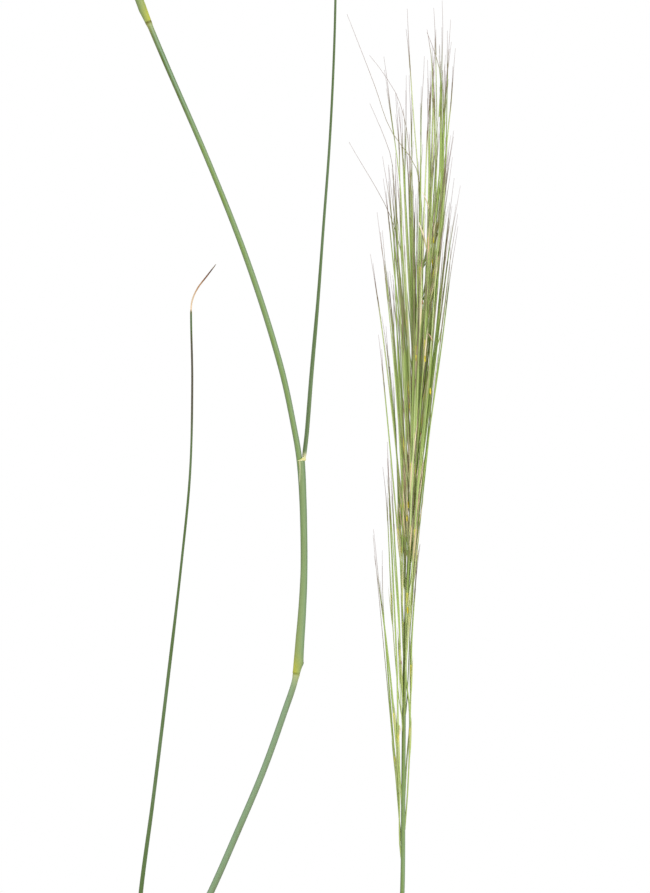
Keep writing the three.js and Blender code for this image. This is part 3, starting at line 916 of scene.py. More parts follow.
def clay_material():
    material, tree, shader, place = new_material("terracotta", 0.85, 0.2)
    kiln = effect(
        tree,
        MOTTLE,
        Place=place,
        Scale=22.0,
        Dark=paint(158, 88, 58),
        Light=paint(190, 112, 76),
    )
    fine = noise_at(tree, place, 900.0, 2)
    colour = blend(tree, between(tree, fine, 0.5, 0.8), kiln["Colour"], paint(142, 78, 52))
    height = add(tree, "ShaderNodeSeparateXYZ")
    feed(tree, height.inputs[0], place)
    patch = noise_at(tree, stretched(tree, place, (1, 1, 1.6)), 38.0, 8, 0.68)
    low = maths(tree, "SUBTRACT", 1.0, between(tree, height.outputs["Z"], *LIME_FADES))
    lip = between(tree, height.outputs["Z"], *LIP_LIME)
    reach = maths(tree, "MAXIMUM", low, maths(tree, "MULTIPLY", lip, 0.7))
    lime = between(tree, maths(tree, "MULTIPLY_ADD", reach, 0.22, patch), 0.6, 0.82)
    colour = blend(tree, maths(tree, "MULTIPLY", lime, 0.62), colour, paint(216, 200, 184))
    damp = maths(tree, "SUBTRACT", 1.0, between(tree, height.outputs["Z"], *DAMP_FADES))
    colour = blend(tree, maths(tree, "MULTIPLY", damp, 0.45), colour, paint(104, 58, 40))
    feed(tree, shader["Base Color"], colour)
    feed(tree, shader["Roughness"], maths(tree, "MULTIPLY_ADD", fine, 0.2, 0.72))
    pits = maths(tree, "ADD", maths(tree, "MULTIPLY", fine, 0.7), maths(tree, "MULTIPLY", lime, 0.5))
    feed(tree, shader["Normal"], bump(tree, pits, 0.0004, 0.4))
    return material


CLAY = clay_material()
PEAT = speckled("peat", paint(38, 28, 20), paint(72, 54, 40), 420.0, 0.95)
BARK = speckled("bark", paint(70, 46, 30), paint(124, 88, 58), 300.0, 0.85)
GRIT = speckled("grit", paint(112, 106, 98), paint(168, 160, 148), 500.0, 0.8)
PERLITE = speckled("perlite", paint(206, 202, 194), paint(236, 233, 226), 700.0, 0.9)
print("pot finishes:", CLAY.name, PEAT.name, BARK.name, GRIT.name, PERLITE.name)

# %% [markdown]
# ## The clay pot
# It is a plain thrown pot with a thick rim band, drawn as one outline turned round the axis. Spin
# or a Screw modifier could turn it, but a short loop also lets the wall carry the faint rings that
# a potter's rib leaves, and keeps the poles as single points. Its four drain holes are cut by one
# Boolean, because a round hole in a turned floor has no tidy rule of its own.

# %% The pot's outline
POT_HEIGHT = 125
POT_FOOT_RADIUS = 50
POT_RIM_RADIUS = 72
POT_WALL = 5.5
POT_FLOOR = 7
RIM_FOOT = POT_HEIGHT - 24
RIM_STEP = 4
RIM_ROUND = 3
POT_SEGMENTS = 144
RIB_DEPTH = 0.09


def outer_radius(height):
    return mix(POT_FOOT_RADIUS, POT_RIM_RADIUS - RIM_STEP, height / RIM_FOOT)


INNER_FOOT_RADIUS = outer_radius(POT_FLOOR) - POT_WALL
INNER_TOP_RADIUS = POT_RIM_RADIUS - POT_WALL - 1
INNER_FOOT = POT_FLOOR + 3
INNER_TOP = POT_HEIGHT - 4


def inner_radius(height):
    share = (height - INNER_FOOT) / (INNER_TOP - INNER_FOOT)
    return mix(INNER_FOOT_RADIUS, INNER_TOP_RADIUS, share)


def arc(centre_radius, centre_height, radius, start, end, steps):
    """Points of a round edge, from one angle to another in degrees."""
    turns = [math.radians(turn) for turn in evenly(start, end, steps)]
    return [
        (centre_radius + radius * math.cos(turn), centre_height + radius * math.sin(turn))
        for turn in turns
    ]


def ribbed(radius, height):
    """A wall point with the faint rings of throwing."""
    return radius - RIB_DEPTH * (0.5 + 0.5 * math.sin(height * 2.1 + math.sin(height * 0.7) * 2))


wall = [(ribbed(outer_radius(z), z), z) for z in heights_between(4, RIM_FOOT - 1.5, 0.8)]
band = [(ribbed(POT_RIM_RADIUS, z), z) for z in heights_between(RIM_FOOT + 4, POT_HEIGHT - 4, 0.8)]
inside = [(inner_radius(z), z) for z in heights_between(INNER_TOP, INNER_FOOT + 1, 6)]
outline = [
    (0, 0),
    (POT_FOOT_RADIUS - 4, 0.0),
    *arc(POT_FOOT_RADIUS - 1.6, 1.7, 1.7, -90, 0, 6),
    *wall,
    (outer_radius(RIM_FOOT) + 0.1, RIM_FOOT - 0.4),
    (outer_radius(RIM_FOOT) + 0.9, RIM_FOOT + 0.2),
    *arc(POT_RIM_RADIUS - RIM_ROUND, RIM_FOOT + RIM_ROUND + 0.2, RIM_ROUND, -80, 0, 8),
    *band,
    *arc(POT_RIM_RADIUS - RIM_ROUND, POT_HEIGHT - RIM_ROUND, RIM_ROUND, 10, 90, 8),
    *arc(INNER_TOP_RADIUS + 1.9, POT_HEIGHT - 1.9, 1.9, 100, 180, 6),
    *inside,
    *arc(INNER_FOOT_RADIUS - 3, INNER_FOOT, 3, 0, -90, 5),
    (0, POT_FLOOR),
]
print("pot outline:", len(outline), "points")


# %% Turn the outline and cut the drain holes
def turned_mesh(name, outline, segments, uneven):
    """A solid of revolution whose ends lie on the axis; uneven moves each point a little."""
    mesh = bmesh.new()
    rings = []
    for radius, height in outline:
        if radius == 0:
            rings.append([mesh.verts.new((0, 0, height * MM))])
            continue
        ring = []
        for i in range(segments):
            turn = 2 * math.pi * i / segments
            out, up = uneven(radius, height, turn)
            ring.append(mesh.verts.new((out * MM * math.cos(turn), out * MM * math.sin(turn), up * MM)))
        rings.append(ring)
    for low, high in zip(rings, rings[1:]):
        for i in range(segments):
            j = (i + 1) % segments
            corners = [low[i % len(low)], low[j % len(low)], high[j % len(high)], high[i % len(high)]]
            mesh.faces.new(list(dict.fromkeys(corners)))
    return smooth_piece(name, mesh)


def hand_thrown(radius, height, turn):
    """Clay is never quite round: the wall wanders by a tenth of a millimetre or two."""
    wander = noise.noise(Vector((math.cos(turn) * 2, math.sin(turn) * 2, height * 0.03)))
    return radius + 0.14 * min(radius / POT_FOOT_RADIUS, 1) * wander, height


DRAIN_RADIUS = 5
DRAIN_CIRCLE = 26
DRAIN_COUNT = 4


def drain_cutter():
    parts = []
    for i in range(DRAIN_COUNT):
        turn = (i + 0.5) / DRAIN_COUNT * 2 * math.pi
        radius = DRAIN_CIRCLE * MM
        bpy.ops.mesh.primitive_cylinder_add(
            vertices=40,
            radius=DRAIN_RADIUS * MM,
            depth=POT_FLOOR * 3 * MM,
            location=(radius * math.cos(turn), radius * math.sin(turn), 0),
        )
        parts.append(bpy.context.object)
    return joined("drain_cutter", parts)


pot = turned_mesh("clay_pot", outline, POT_SEGMENTS, hand_thrown)
cutter = drain_cutter()
cut = pot.modifiers.new("drains", "BOOLEAN")
cut.operation = "DIFFERENCE"
cut.solver = "EXACT"
cut.object = cutter
pot_mesh = bpy.data.meshes.new_from_object(pot.evaluated_get(bpy.context.evaluated_depsgraph_get()))
pot.modifiers.remove(cut)
pot.data = pot_mesh
bpy.data.objects.remove(cutter)
pot_mesh.materials.clear()
pot_mesh.materials.append(CLAY)
settle(pot, "terracotta", "pot")

# %% [markdown]
# ## The potting mix
# The soil is one body with a crumbly top, level but for a low wave. The crumbs themselves are
# loose: bark, grit and perlite lie on it and half sunk in it. Scattering them by hand would take
# hundreds of placements, so a Geometry Nodes tree spreads points over the top and sets a chip on
# each, turned and sized at random from a fixed seed. Realize Instances makes them real mesh.

# %% The body of the soil
SOIL_TOP = 112
SOIL_WAVE = 1.2
SOIL_GAP = 0.3
CRUMB_HEIGHT = 0.9
SOIL_SEGMENTS = 220
SOIL_RINGS = 54
SOIL_RING_STEP = 1.15


def soil_surface(radius, height, turn):
    if height < SOIL_TOP - 1.5:
        return radius, height
    x, y = radius * math.cos(turn), radius * math.sin(turn)
    wave = SOIL_WAVE * math.sin(x * 0.11 + 1) * math.cos(y * 0.13)
    crumbs = noise.fractal(Vector((x * 0.35, y * 0.35, 7)), 0.8, 2.1, 5)
    return radius, height + wave + CRUMB_HEIGHT * crumbs


soil_edge = inner_radius(SOIL_TOP) - SOIL_GAP
soil_outline = [
    (0, POT_FLOOR + SOIL_GAP),
    (INNER_FOOT_RADIUS - 4, POT_FLOOR + SOIL_GAP),
    (inner_radius(INNER_FOOT + 1) - SOIL_GAP, INNER_FOOT + 1),
    (inner_radius(SOIL_TOP - 3) - SOIL_GAP, SOIL_TOP - 3),
    *[(soil_edge - 0.1 - SOIL_RING_STEP * i, SOIL_TOP) for i in range(SOIL_RINGS)],
    (0, SOIL_TOP),
]
soil = turned_mesh("potting_mix", soil_outline, SOIL_SEGMENTS, soil_surface)
soil.data.materials.append(PEAT)
print("soil vertices:", len(soil.data.vertices))


# %% A tree that scatters chips
def build_scatter():
    tree, given, result = new_tree(
        "Scatter chips",
        "GeometryNodeTree",
        [
            ("Ground", "NodeSocketGeometry", None),
            ("Chip", "NodeSocketObject", None),
            ("Density", "NodeSocketFloat", 1000.0),
            ("Smallest", "NodeSocketFloat", 0.001),
            ("Largest", "NodeSocketFloat", 0.002),
            ("Reach", "NodeSocketFloat", 0.06),
            ("Lowest", "NodeSocketFloat", 0.1),
            ("Seed", "NodeSocketInt", 1),
            ("Finish", "NodeSocketMaterial", None),
        ],
        [("Chips", "NodeSocketGeometry")],
    )
    place = add(tree, "GeometryNodeInputPosition").outputs["Position"]
    split = add(tree, "ShaderNodeSeparateXYZ")
    feed(tree, split.inputs[0], place)
    flat = add(tree, "ShaderNodeCombineXYZ")
    feed(tree, flat.inputs["X"], split.outputs["X"])
    feed(tree, flat.inputs["Y"], split.outputs["Y"])
    radius = add(tree, "ShaderNodeVectorMath", operation="LENGTH")
    feed(tree, radius.inputs[0], flat.outputs["Vector"])
    inside = maths(tree, "LESS_THAN", radius.outputs["Value"], given["Reach"])
    above = maths(tree, "GREATER_THAN", split.outputs["Z"], given["Lowest"])
    points = add(tree, "GeometryNodeDistributePointsOnFaces")
    feed(tree, points.inputs["Mesh"], given["Ground"])
    feed(tree, points.inputs["Selection"], maths(tree, "MULTIPLY", inside, above))
    feed(tree, points.inputs["Density"], given["Density"])
    feed(tree, points.inputs["Seed"], given["Seed"])
    chip = add(tree, "GeometryNodeObjectInfo")
    feed(tree, chip.inputs["Object"], given["Chip"])
    turn = add(tree, "FunctionNodeRandomValue", data_type="FLOAT_VECTOR")
    turn.inputs["Max"].default_value = (6.28, 6.28, 6.28)
    feed(tree, turn.inputs["Seed"], given["Seed"])
    size = add(tree, "FunctionNodeRandomValue", data_type="FLOAT")
    feed(tree, size.inputs[2], given["Smallest"])
    feed(tree, size.inputs[3], given["Largest"])
    feed(tree, size.inputs["Seed"], maths(tree, "ADD", given["Seed"], 1))
    chips = add(tree, "GeometryNodeInstanceOnPoints")
    feed(tree, chips.inputs["Points"], points.outputs["Points"])
    feed(tree, chips.inputs["Instance"], chip.outputs["Geometry"])
    feed(tree, chips.inputs["Rotation"], turn.outputs["Value"])
    feed(tree, chips.inputs["Scale"], size.outputs[1])
    feed(tree, result["Chips"], real_and_dressed(tree, chips.outputs["Instances"], given["Finish"]))
    return tree


SCATTER = build_scatter()
print("scatter tree:", len(SCATTER.nodes), "nodes")


# %% The chips, and scattering them
def chip_shape(name, factors, subdivisions, seed):
    """A knobbly pebble or flake of about unit radius."""
    shape = bmesh.new()
    bmesh.ops.create_icosphere(shape, subdivisions=subdivisions, radius=1)
    for vertex in shape.verts:
        dent = 1 + 0.35 * noise.noise(vertex.co * 1.3 + Vector((seed, seed * 2, 0)))
        vertex.co = Vector(axis * factor * dent for axis, factor in zip(vertex.co, factors))
    mesh = bpy.data.meshes.new(name)
    shape.to_mesh(mesh)
    shape.free()
    return new_object(name, mesh)


# Each kind: name, finish, form, roundness, chips for each square metre, smallest, largest in mm
CHIPS = [
    ("bark_chips", BARK, (1.0, 0.55, 0.28), 1, 60000, 1.2, 3.1),
    ("peat_crumbs", PEAT, (1.0, 0.85, 0.7), 1, 190000, 0.5, 1.3),
    ("grit", GRIT, (1.0, 0.8, 0.7), 1, 22000, 0.5, 1.2),
    ("perlite", PERLITE, (1.0, 0.9, 0.85), 2, 14000, 0.7, 1.6),
]
CHIP_MARGIN = 3.2
CHIP_DEPTH = 2.6
soil_parts = [soil]
for seed, (name, finish, factors, roundness, density, smallest, largest) in enumerate(CHIPS, start=3):
    chip = chip_shape(f"{name}_shape", factors, roundness, seed)
    ground = new_object(name, soil.data.copy())
    through_tree(
        ground,
        SCATTER,
        Chip=chip,
        Density=float(density),
        Smallest=smallest * MM,
        Largest=largest * MM,
        Reach=(soil_edge - CHIP_MARGIN) * MM,
        Lowest=(SOIL_TOP - CHIP_DEPTH) * MM,
        Seed=seed,
        Finish=finish,
    )
    bpy.data.objects.remove(chip)
    print(name, len(ground.data.polygons), "faces")
    soil_parts.append(ground)
settle(joined("potting_mix", soil_parts), "soil", "soil")

# %% [markdown]
# ## Culms, nodes and sheaths
# A grass culm is a chain: a bare stretch of stem, a swollen node, and a sheath that grows from the
# node and wraps the stem above it before it opens into a blade. The sheath isn't a tube. It is a
# rolled sheet, one margin over the other. The outer margin is a pale line that crosses the front
# just below the mouth and winds away round the side further down.
# So the stem is one swept strand that swells at its nodes, and each sheath is a rolled sheet with
# a real wall, built ring by ring: each ring starts at the outer margin and ends under it.

# %% What each culm carries, all heights in mm
UP = Vector((0, 0, 1))
BACK = Vector((0, 1, 0))
LOW_END = 98
NODE_SWELL = 0.2
NODE_REACH = 1.1
RING_REACH = 0.5
PALE_REACH = 2.2
NODE_SPAN = 4
CULMS = {
    "culm_left": {
        "line": LEFT_LINE,
        "radius": [
            [98, 1.3],
            [236, 1.15],
            [300, 1.06],
            [326, 1.04],
            [334, 1],
            [404, 1],
            [420, 0.95],
            [440, 0.99],
            [470, 0.95],
            [500, 0.88],
            [530, 0.86],
            [548, 0.92],
        ],
        "nodes": {
            334.6: {"pale": 0.3, "yellow": 0.5, "ring": 0.2},
            551.6: {"pale": 0.2, "yellow": 0.5, "ring": 0.9},
        },
        "young": [505, 532],
        "waxy_to": 334.6,
        "top": 590,
        "mouth": 604,
    },
    "culm_right": {
        "line": RIGHT_LINE,
        "radius": [[98, 1.15], [160, 1.05], [220, 0.9]],
        "nodes": {167.2: {"pale": 0.2, "yellow": 0.3, "ring": 0.8}},
        "waxy_to": 167.2,
        "top": 214,
        "mouth": 228,
    },
    "culm_outer": {
        "line": OUTER_LINE,
        "radius": [[98, 1.2], [200, 1.08], [240, 1.05], [300, 0.9]],
        "nodes": {242.1: {"pale": 0.2, "yellow": 0.3, "ring": 0.8}},
        "waxy_to": 242.1,
        "top": 302,
        "mouth": 316,
    },
}
# A node is given with how pale and yellow the stem is just below it, and how dark its ring is.
# Each sheath: its culm, the angle of its outer margin at the mouth and how far down it winds away,
# 1 if its yellow foot faces left and 0 if it faces right, then rows of height, radius and shift
SHEATHS = [
    ("culm_left", 250, 14, 1, [[98, 1.62, 0], [150, 1.6, 0], [243, 1.5, 0]]),
    (
        "culm_left",
        243,
        20,
        1,
        [
            [335, 1.3, -0.05],
            [336.4, 1.4, 0],
            [338.2, 1.66, 0.15],
            [338.9, 1.71, 0.18],
            [341, 1.62, 0.06],
            [346, 1.54, 0.02],
            [358, 1.34, 0.08],
            [370, 1.19, 0.2],
            [382, 1.13, 0.25],
            [394, 1.2, 0.3],
            [402, 1.3, 0.4],
            [405.8, 1.38, 0.45],
        ],
    ),
    (
        "culm_left",
        230,
        16,
        0,
        [
            [551.9, 1.15, 0],
            [552.6, 1.22, 0.03],
            [554.4, 1.34, 0],
            [556, 1.48, -0.03],
            [557.6, 1.46, 0.15],
            [562, 1.4, 0.3],
            [575, 1.36, 0.2],
            [604, 1.8, 0],
        ],
    ),
    ("culm_right", 240, 14, 0, [[98, 1.45, 0], [151, 1.38, 0]]),
    ("culm_right", 300, 18, 1, [[167.5, 1.16, 0], [171, 1.28, 0], [228, 1.75, 0]]),
    ("culm_outer", 210, 14, 1, [[98, 1.45, 0], [169, 1.38, 0]]),
    ("culm_outer", 290, 18, 0, [[242.4, 1.17, 0], [246, 1.28, 0], [316, 1.75, 0]]),
]
print(len(SHEATHS), "sheaths on", len(CULMS), "culms")


# %% The stem, with its swollen nodes
def stem_strand(line, radius, nodes, young_from, low, high):
    """A bare stem between two heights, in steps that are finer at its nodes."""
    heights = set(heights_between(low, high, 2.4))
    for node in nodes:
        near = heights_between(node - NODE_SPAN, node + NODE_SPAN, 0.2)
        heights |= {z for z in near if low < z < high}
    heights = sorted(heights)
    widths, ring, pale, yellow = [], [], [], []
    for z in heights:
        swell = sum(math.exp(-(((z - node) / NODE_REACH) ** 2)) for node in nodes)
        widths.append(value_at(radius, z) + NODE_SWELL * swell)
        near = {node: math.exp(-(((z - node) / RING_REACH) ** 2)) for node in nodes}
        below = {node: math.exp(-max(node - z, 0) / PALE_REACH) for node in nodes}
        ring.append(sum(nodes[node]["ring"] * near[node] for node in nodes))
        pale.append(sum(nodes[node]["pale"] * below[node] for node in nodes if z < node))
        yellow.append(sum(nodes[node]["yellow"] * below[node] for node in nodes if z < node + 1))
    middles = [middle_at(line, z) for z in heights]
    young = [smooth_step(*young_from, z) for z in heights]
    return strand(middles, widths, BACK, ring=ring, margin=pale, yellow=yellow, young=young)


# %% A rolled sheath with a real wall
SHEATH_WALL = 0.15
SHEATH_OVERLAP = 0.9
MARGIN_WINDING = math.radians(100)
SHEATH_PETALS = 36
YELLOW_FOOT = 4.5
YELLOW_FADE = 16


def skin_sheath(mesh, rings):
    """Faces for both sides of the rolled sheet, its two margins and its two ends."""
    for (outer, inner), (next_outer, next_inner) in zip(rings, rings[1:]):
        for i in range(SHEATH_PETALS):
            mesh.faces.new((outer[i], outer[i + 1], next_outer[i + 1], next_outer[i]))
            mesh.faces.new((inner[i], next_inner[i], next_inner[i + 1], inner[i + 1]))
        mesh.faces.new((outer[0], next_outer[0], next_inner[0], inner[0]))
        mesh.faces.new((outer[-1], inner[-1], next_inner[-1], next_outer[-1]))
    for (outer, inner), flip in ((rings[0], True), (rings[-1], False)):
        for i in range(SHEATH_PETALS):
            corners = (outer[i], outer[i + 1], inner[i + 1], inner[i])
            mesh.faces.new(corners[::-1] if flip else corners)


def sheath_mesh(name, line, edge_degrees, winding, faces_left, rows):
    """A sheet rolled round a stem, whose outer margin winds away from the front below the mouth."""
    foot, mouth = rows[0][0], rows[-1][0]
    radii = [[z, radius] for z, radius, _ in rows]
    shifts = [[z, shift] for z, _, shift in rows]
    heights = [
        *heights_between(foot, foot + 5, 0.6),
        *heights_between(foot + 5, mouth - winding, 2.5)[1:],
        *heights_between(mouth - winding, mouth, 0.9)[1:],
    ]
    mesh = bmesh.new()
    layers = {key: mesh.verts.layers.float.new(key) for key in ("yellow", "margin", "ring")}
    section = mesh.verts.layers.float_vector.new("section")
    rings = []
    for z in heights:
        tangent = tangent_at(line, z)
        side = BACK.cross(tangent).normalized()
        back = tangent.cross(side)
        near_mouth = smooth_step(mouth - winding, mouth, z)
        middle = middle_at(line, z)
        middle.x += value_at(shifts, z)
        edge_turn = math.radians(edge_degrees) - MARGIN_WINDING * (1 - near_mouth)
        radius = value_at(radii, z)
        up = z - foot
        outer, inner = [], []
        for i in range(SHEATH_PETALS + 1):
            share = i / SHEATH_PETALS
            turn = edge_turn + (2 * math.pi + SHEATH_OVERLAP) * (1 - share)
            direction = side * math.cos(turn) + back * math.sin(turn)
            leftness = 0.5 - 0.5 * direction.dot(side)
            film = 1 - min(min(share, 1 - share) * SHEATH_PETALS / 2, 1)
            rolled = radius - SHEATH_WALL * (1 - share)
            wall = SHEATH_WALL * mix(1, 0.3, film)
            for row, out in ((outer, rolled), (inner, rolled - wall)):
                vertex = mesh.verts.new((middle + direction * out) * MM)
                vertex[section] = Vector((direction.dot(back), -direction.dot(side), 0))
                lit = mix(1 - leftness, leftness, faces_left)
                fresh = mix(0.3, 0.8, lit) * math.exp(-((up / YELLOW_FOOT) ** 2))
                fresh += 0.65 * lit**1.5 * math.exp(-up / YELLOW_FADE)
                tucked = 0.75 * near_mouth * (1 - smooth_step(0.1, 0.4, share))
                vertex[layers["yellow"]] = min(fresh + tucked, 1)
                vertex[layers["margin"]] = film * share * mix(0.4, 0.95, near_mouth)
                # A thin dark line just below the mouth on part of the sheet: painted shade of the gap
                # below the collar, where the culm comes out.
                rim = math.exp(-((mouth - z) / 0.4)) * (1 - smooth_step(0.3, 0.5, share))
                vertex[layers["ring"]] = 0.25 * rim
                row.append(vertex)
        rings.append((outer, inner))
    skin_sheath(mesh, rings)
    sheath = smooth_piece(name, mesh)
    sheath.data.materials.append(SHEATH)
    return sheath


# %% [markdown]
# The mouth of a sheath bears a ligule. In this grass it is no skin but a fringe of short white
# hairs, with a pale thick patch beside it where the blade bends away. A small pointed bud swells
# beside the lower node of the left culm.

# %% Ligule hairs, collar patch and bud
LIGULE_HAIRS = 46
LIGULE_TURN = 150
LIGULE_SPAN = 1.7
LIGULE_WIDTHS = [0.045, 0.035, 0.008]


def ligule_strands(line, mouth, radius, shift, edge_degrees, seed):
    hairs = []
    tangent = tangent_at(line, mouth)
    side = BACK.cross(tangent).normalized()
    back = tangent.cross(side)
    for i in range(LIGULE_HAIRS):
        fan = mix(-LIGULE_SPAN, LIGULE_SPAN, (i + 0.5) / LIGULE_HAIRS)
        turn = math.radians(edge_degrees + LIGULE_TURN) + fan
        direction = side * math.cos(turn) + back * math.sin(turn)
        foot = middle_at(line, mouth - 0.5) + Vector((shift, 0, 0)) + direction * (radius - 0.2)
        lean = direction * mix(-0.25, 0.15, spread(seed + i, 1))
        length = mix(0.35, 0.8, spread(seed + i, 0))
        tip = foot + (tangent + lean).normalized() * length
        hairs.append(strand([foot, foot.lerp(tip, 0.5), tip], LIGULE_WIDTHS, BACK, tint=0.5))
    return hairs


BUD_LINE = [[3.7, -0.4, 336.6], [4.2, -0.45, 337.6], [4.6, -0.5, 338.3], [4.95, -0.5, 338.8]]


def bud_strand():
    """The little pointed bud on the right of the left culm's lower node."""
    points = [Vector(place) for place in BUD_LINE]
    return strand(points, [0.2, 0.4, 0.32, 0.04], BACK, ring=[0, 0.05, 0.2, 0.9])


# Across the foot of a blade: angle from its middle in degrees, height and radius of the collar
COLLAR_ARC = [
    (-128, -0.1, 0.07),
    (-104, 0.05, 0.14),
    (-80, 0.15, 0.28),
    (-50, 0.45, 0.5),
    (-22, 0.62, 0.7),
    (6, 0.38, 0.58),
    (30, 0, 0.2),
    (46, -0.3, 0.06),
]
COLLAR_SINK = 0.12


def collar_strand(line, mouth, shift, azimuth, radius):
    """The thick pale collar, which crosses the back of the sheath's mouth where the blade leaves."""
    points = []
    for degrees, rise, _ in COLLAR_ARC:
        turn = azimuth + math.radians(degrees)
        out = flat_direction(turn) * (radius - COLLAR_SINK)
        points.append(middle_at(line, mouth + rise) + Vector((shift, 0, 0)) + out)
    return strand(points, [row[2] for row in COLLAR_ARC], UP, tint=0.4)


# %% Build the three culms
# Where each blade leaves: culm and mouth, azimuth in degrees, lean at the foot and tip, length
CULM_BLADES = {
    "blade_left_low": ("culm_left", 243, 150, 1.2, 2.4, 116),
    "blade_left_flag": ("culm_left", 604, 35, 0.35, 1.7, 118),
    "blade_right_low": ("culm_right", 151, -72, 0.5, 1.7, 120),
    "blade_right_flag": ("culm_right", 228, -28, 0.95, 2.1, 104),
    "blade_outer_low": ("culm_outer", 169, 78, 0.6, 1.7, 125),
    "blade_outer_flag": ("culm_outer", 316, 8, 0.4, 1.9, 118),
}
COLLAR_AZIMUTH = -15


def build_culm(name, culm):
    line = culm["line"]
    makings = (line, culm["radius"], culm["nodes"], culm.get("young", [culm["top"], culm["mouth"]]))
    low_part = stem_strand(*makings, LOW_END, culm["waxy_to"])
    high_part = stem_strand(*makings, culm["waxy_to"], culm["top"])
    parts = [
        swept(f"{name}_low", [low_part], CULM_WAXY, sides=20),
        swept(f"{name}_high", [high_part], CULM, sides=20),
    ]
    hairs = []
    azimuths = {mouth: degrees for owner, mouth, degrees, *_ in CULM_BLADES.values() if owner == name}
    collars = []
    for index, (owner, edge_degrees, winding, faces_left, rows) in enumerate(SHEATHS):
        if owner != name:
            continue
        parts.append(sheath_mesh(f"sheath_{index}", line, edge_degrees, winding, faces_left, rows))
        mouth, radius, shift = rows[-1]
        hairs += ligule_strands(line, mouth, radius, shift, edge_degrees, index * LIGULE_HAIRS)
        azimuth = math.radians(azimuths.get(mouth, COLLAR_AZIMUTH))
        collars.append(collar_strand(line, mouth, shift, azimuth, radius))
    if name == "culm_left":
        parts.append(swept("bud", [bud_strand()], SHEATH, sides=10))
    parts.append(swept(f"{name}_collars", collars, COLLAR, sides=10))
    parts.append(swept(f"{name}_ligule", hairs, CREAM, sides=3))
    return joined(f"{name}_fine", parts)


for name, culm in CULMS.items():
    settle(build_culm(name, culm), "culm", name)

# %% [markdown]
# ## Leaf blades
# A blade of this grass is rolled in on itself to a wire a millimetre thick, with one furrow where
# its margins meet. It could be a bevelled curve, but the furrow and the ribs need a section that
# keeps facing the same way, so it is swept with the Groove input and faces upwards all along.
# Old tips are dry: straw first, then brown. Some blades are dry to the foot.

# %% Arching blades, by the same rule as the CAD model
BLADE_STEPS = 6
BLADE_TAPER = 0.45
BLADE_BEND = 1.3
BLADE_HALF_WIDTH = 0.7
BLADE_POINT = 0.16
BLADE_DRYING = 0.3
BLADE_THICKNESS = 0.82
BLADE_GROOVE = 0.42


def arched_points(start, azimuth, lean_start, lean_end, length):
    points = [start.copy()]
    outward = flat_direction(azimuth)
    stride = length / BLADE_STEPS
    for i in range(BLADE_STEPS):
        lean = mix(lean_start, lean_end, ((i + 0.5) / BLADE_STEPS) ** BLADE_BEND)
        points.append(points[i] + (outward * math.sin(lean) + UP * math.cos(lean)) * stride)
    return points


def blade_strand(points, count, half_width=BLADE_HALF_WIDTH, dry_from=None, per_span=5):
    """A blade through its points, narrow at the very tip, with a dry end from a share of its length."""
    fine = smooth_through(points, per_span)
    steps = len(fine) - 1
    shares = evenly(0, 1, steps)
    widths = []
    for share in shares:
        pointed = min((1 - share) / BLADE_POINT, 1) ** 0.7
        widths.append(max(half_width * (1 - BLADE_TAPER * share**2) * pointed, 0.03))
    if dry_from is None:
        dry_from = mix(0.72, 0.99, spread(count, 2))
    dry = [max((share - dry_from) / BLADE_DRYING, 0) for share in shares]
    outward = Vector((points[-1].x - points[0].x, points[-1].y - points[0].y, 0))
    facings = []
    for i in range(steps + 1):
        tangent = fine[min(i + 1, steps)] - fine[max(i - 1, 0)]
        facings.append(tangent.cross(UP.cross(outward)).normalized() * -1)
    return strand(fine, widths, facings, dry=dry, tint=spread(count, 1))


def blades_of(name, strands):
    return swept(name, strands, BLADE, sides=12, thickness=BLADE_THICKNESS, groove=BLADE_GROOVE)


MOUTH_GAP = 0.8
MOUTH_REACH = 1.75
BLADE_SEAT = 1.2


def culm_blade_points(line, mouth, degrees, lean_start, lean_end, length):
    azimuth = math.radians(degrees)
    tangent = (middle_at(line, mouth) - middle_at(line, mouth - 1)).normalized()
    outward = flat_direction(azimuth)
    outward = (outward - tangent * outward.dot(tangent)).normalized()
    start = middle_at(line, mouth) + tangent * MOUTH_GAP + outward * MOUTH_REACH
    return arched_points(start, azimuth, lean_start, lean_end, length)


for count, (node, (owner, *spec)) in enumerate(CULM_BLADES.items()):
    points = culm_blade_points(CULMS[owner]["line"], *spec)
    foot = points[0] - (points[1] - points[0]).normalized() * BLADE_SEAT
    dry_from = 0.25 if node.endswith("_low") else 0.86
    fine = blade_strand([foot, *points], count, dry_from=dry_from)
    settle(blades_of(f"{node}_fine", [fine]), "blade", node)

# %% The blade at the collar, which stands up beside the culm
COLLAR_BLADE_PROFILE = [
    [405.9, 0.35],
    [406.9, 0.7],
    [408, 0.82],
    [420, 0.82],
    [448, 0.73],
    [457, 0.64],
    [476, 0.54],
    [520, 0.47],
    [559, 0.44],
    [600, 0.32],
    [622, 0.04],
]
heights = [*heights_between(405.9, 412, 0.7), *heights_between(412, 622, 3)[1:]]
COLLAR_FOOT = [[4.85, -0.3, 403], [5.05, -0.2, 407]]
collar_line = [*COLLAR_FOOT, *COLLAR_BLADE_LINE[1:]]
collar_points = [middle_at(collar_line, z) for z in heights]
collar_widths = [value_at(COLLAR_BLADE_PROFILE, z) for z in heights]
pale_foot = [0.85 * (1 - smooth_step(406.8, 409.2, z)) for z in heights]
furrow_side = Vector((-0.75, -0.66, 0))
collar_blade = strand(
    collar_points,
    collar_widths,
    furrow_side,
    margin=pale_foot,
    dry=[max((z - 596) / 60, 0) for z in heights],
    tint=0.15,
)
settle(blades_of("blade_left_collar_fine", [collar_blade]), "blade", "blade_left_collar")

# %% [markdown]
# The tall leaf stands alone on the left. It is the thinnest thing on the plant, green with a
# bronzed stretch high up, and its dead tip hooks over to the right: pale at the break, brown at
# the bend and bleached at the very end.

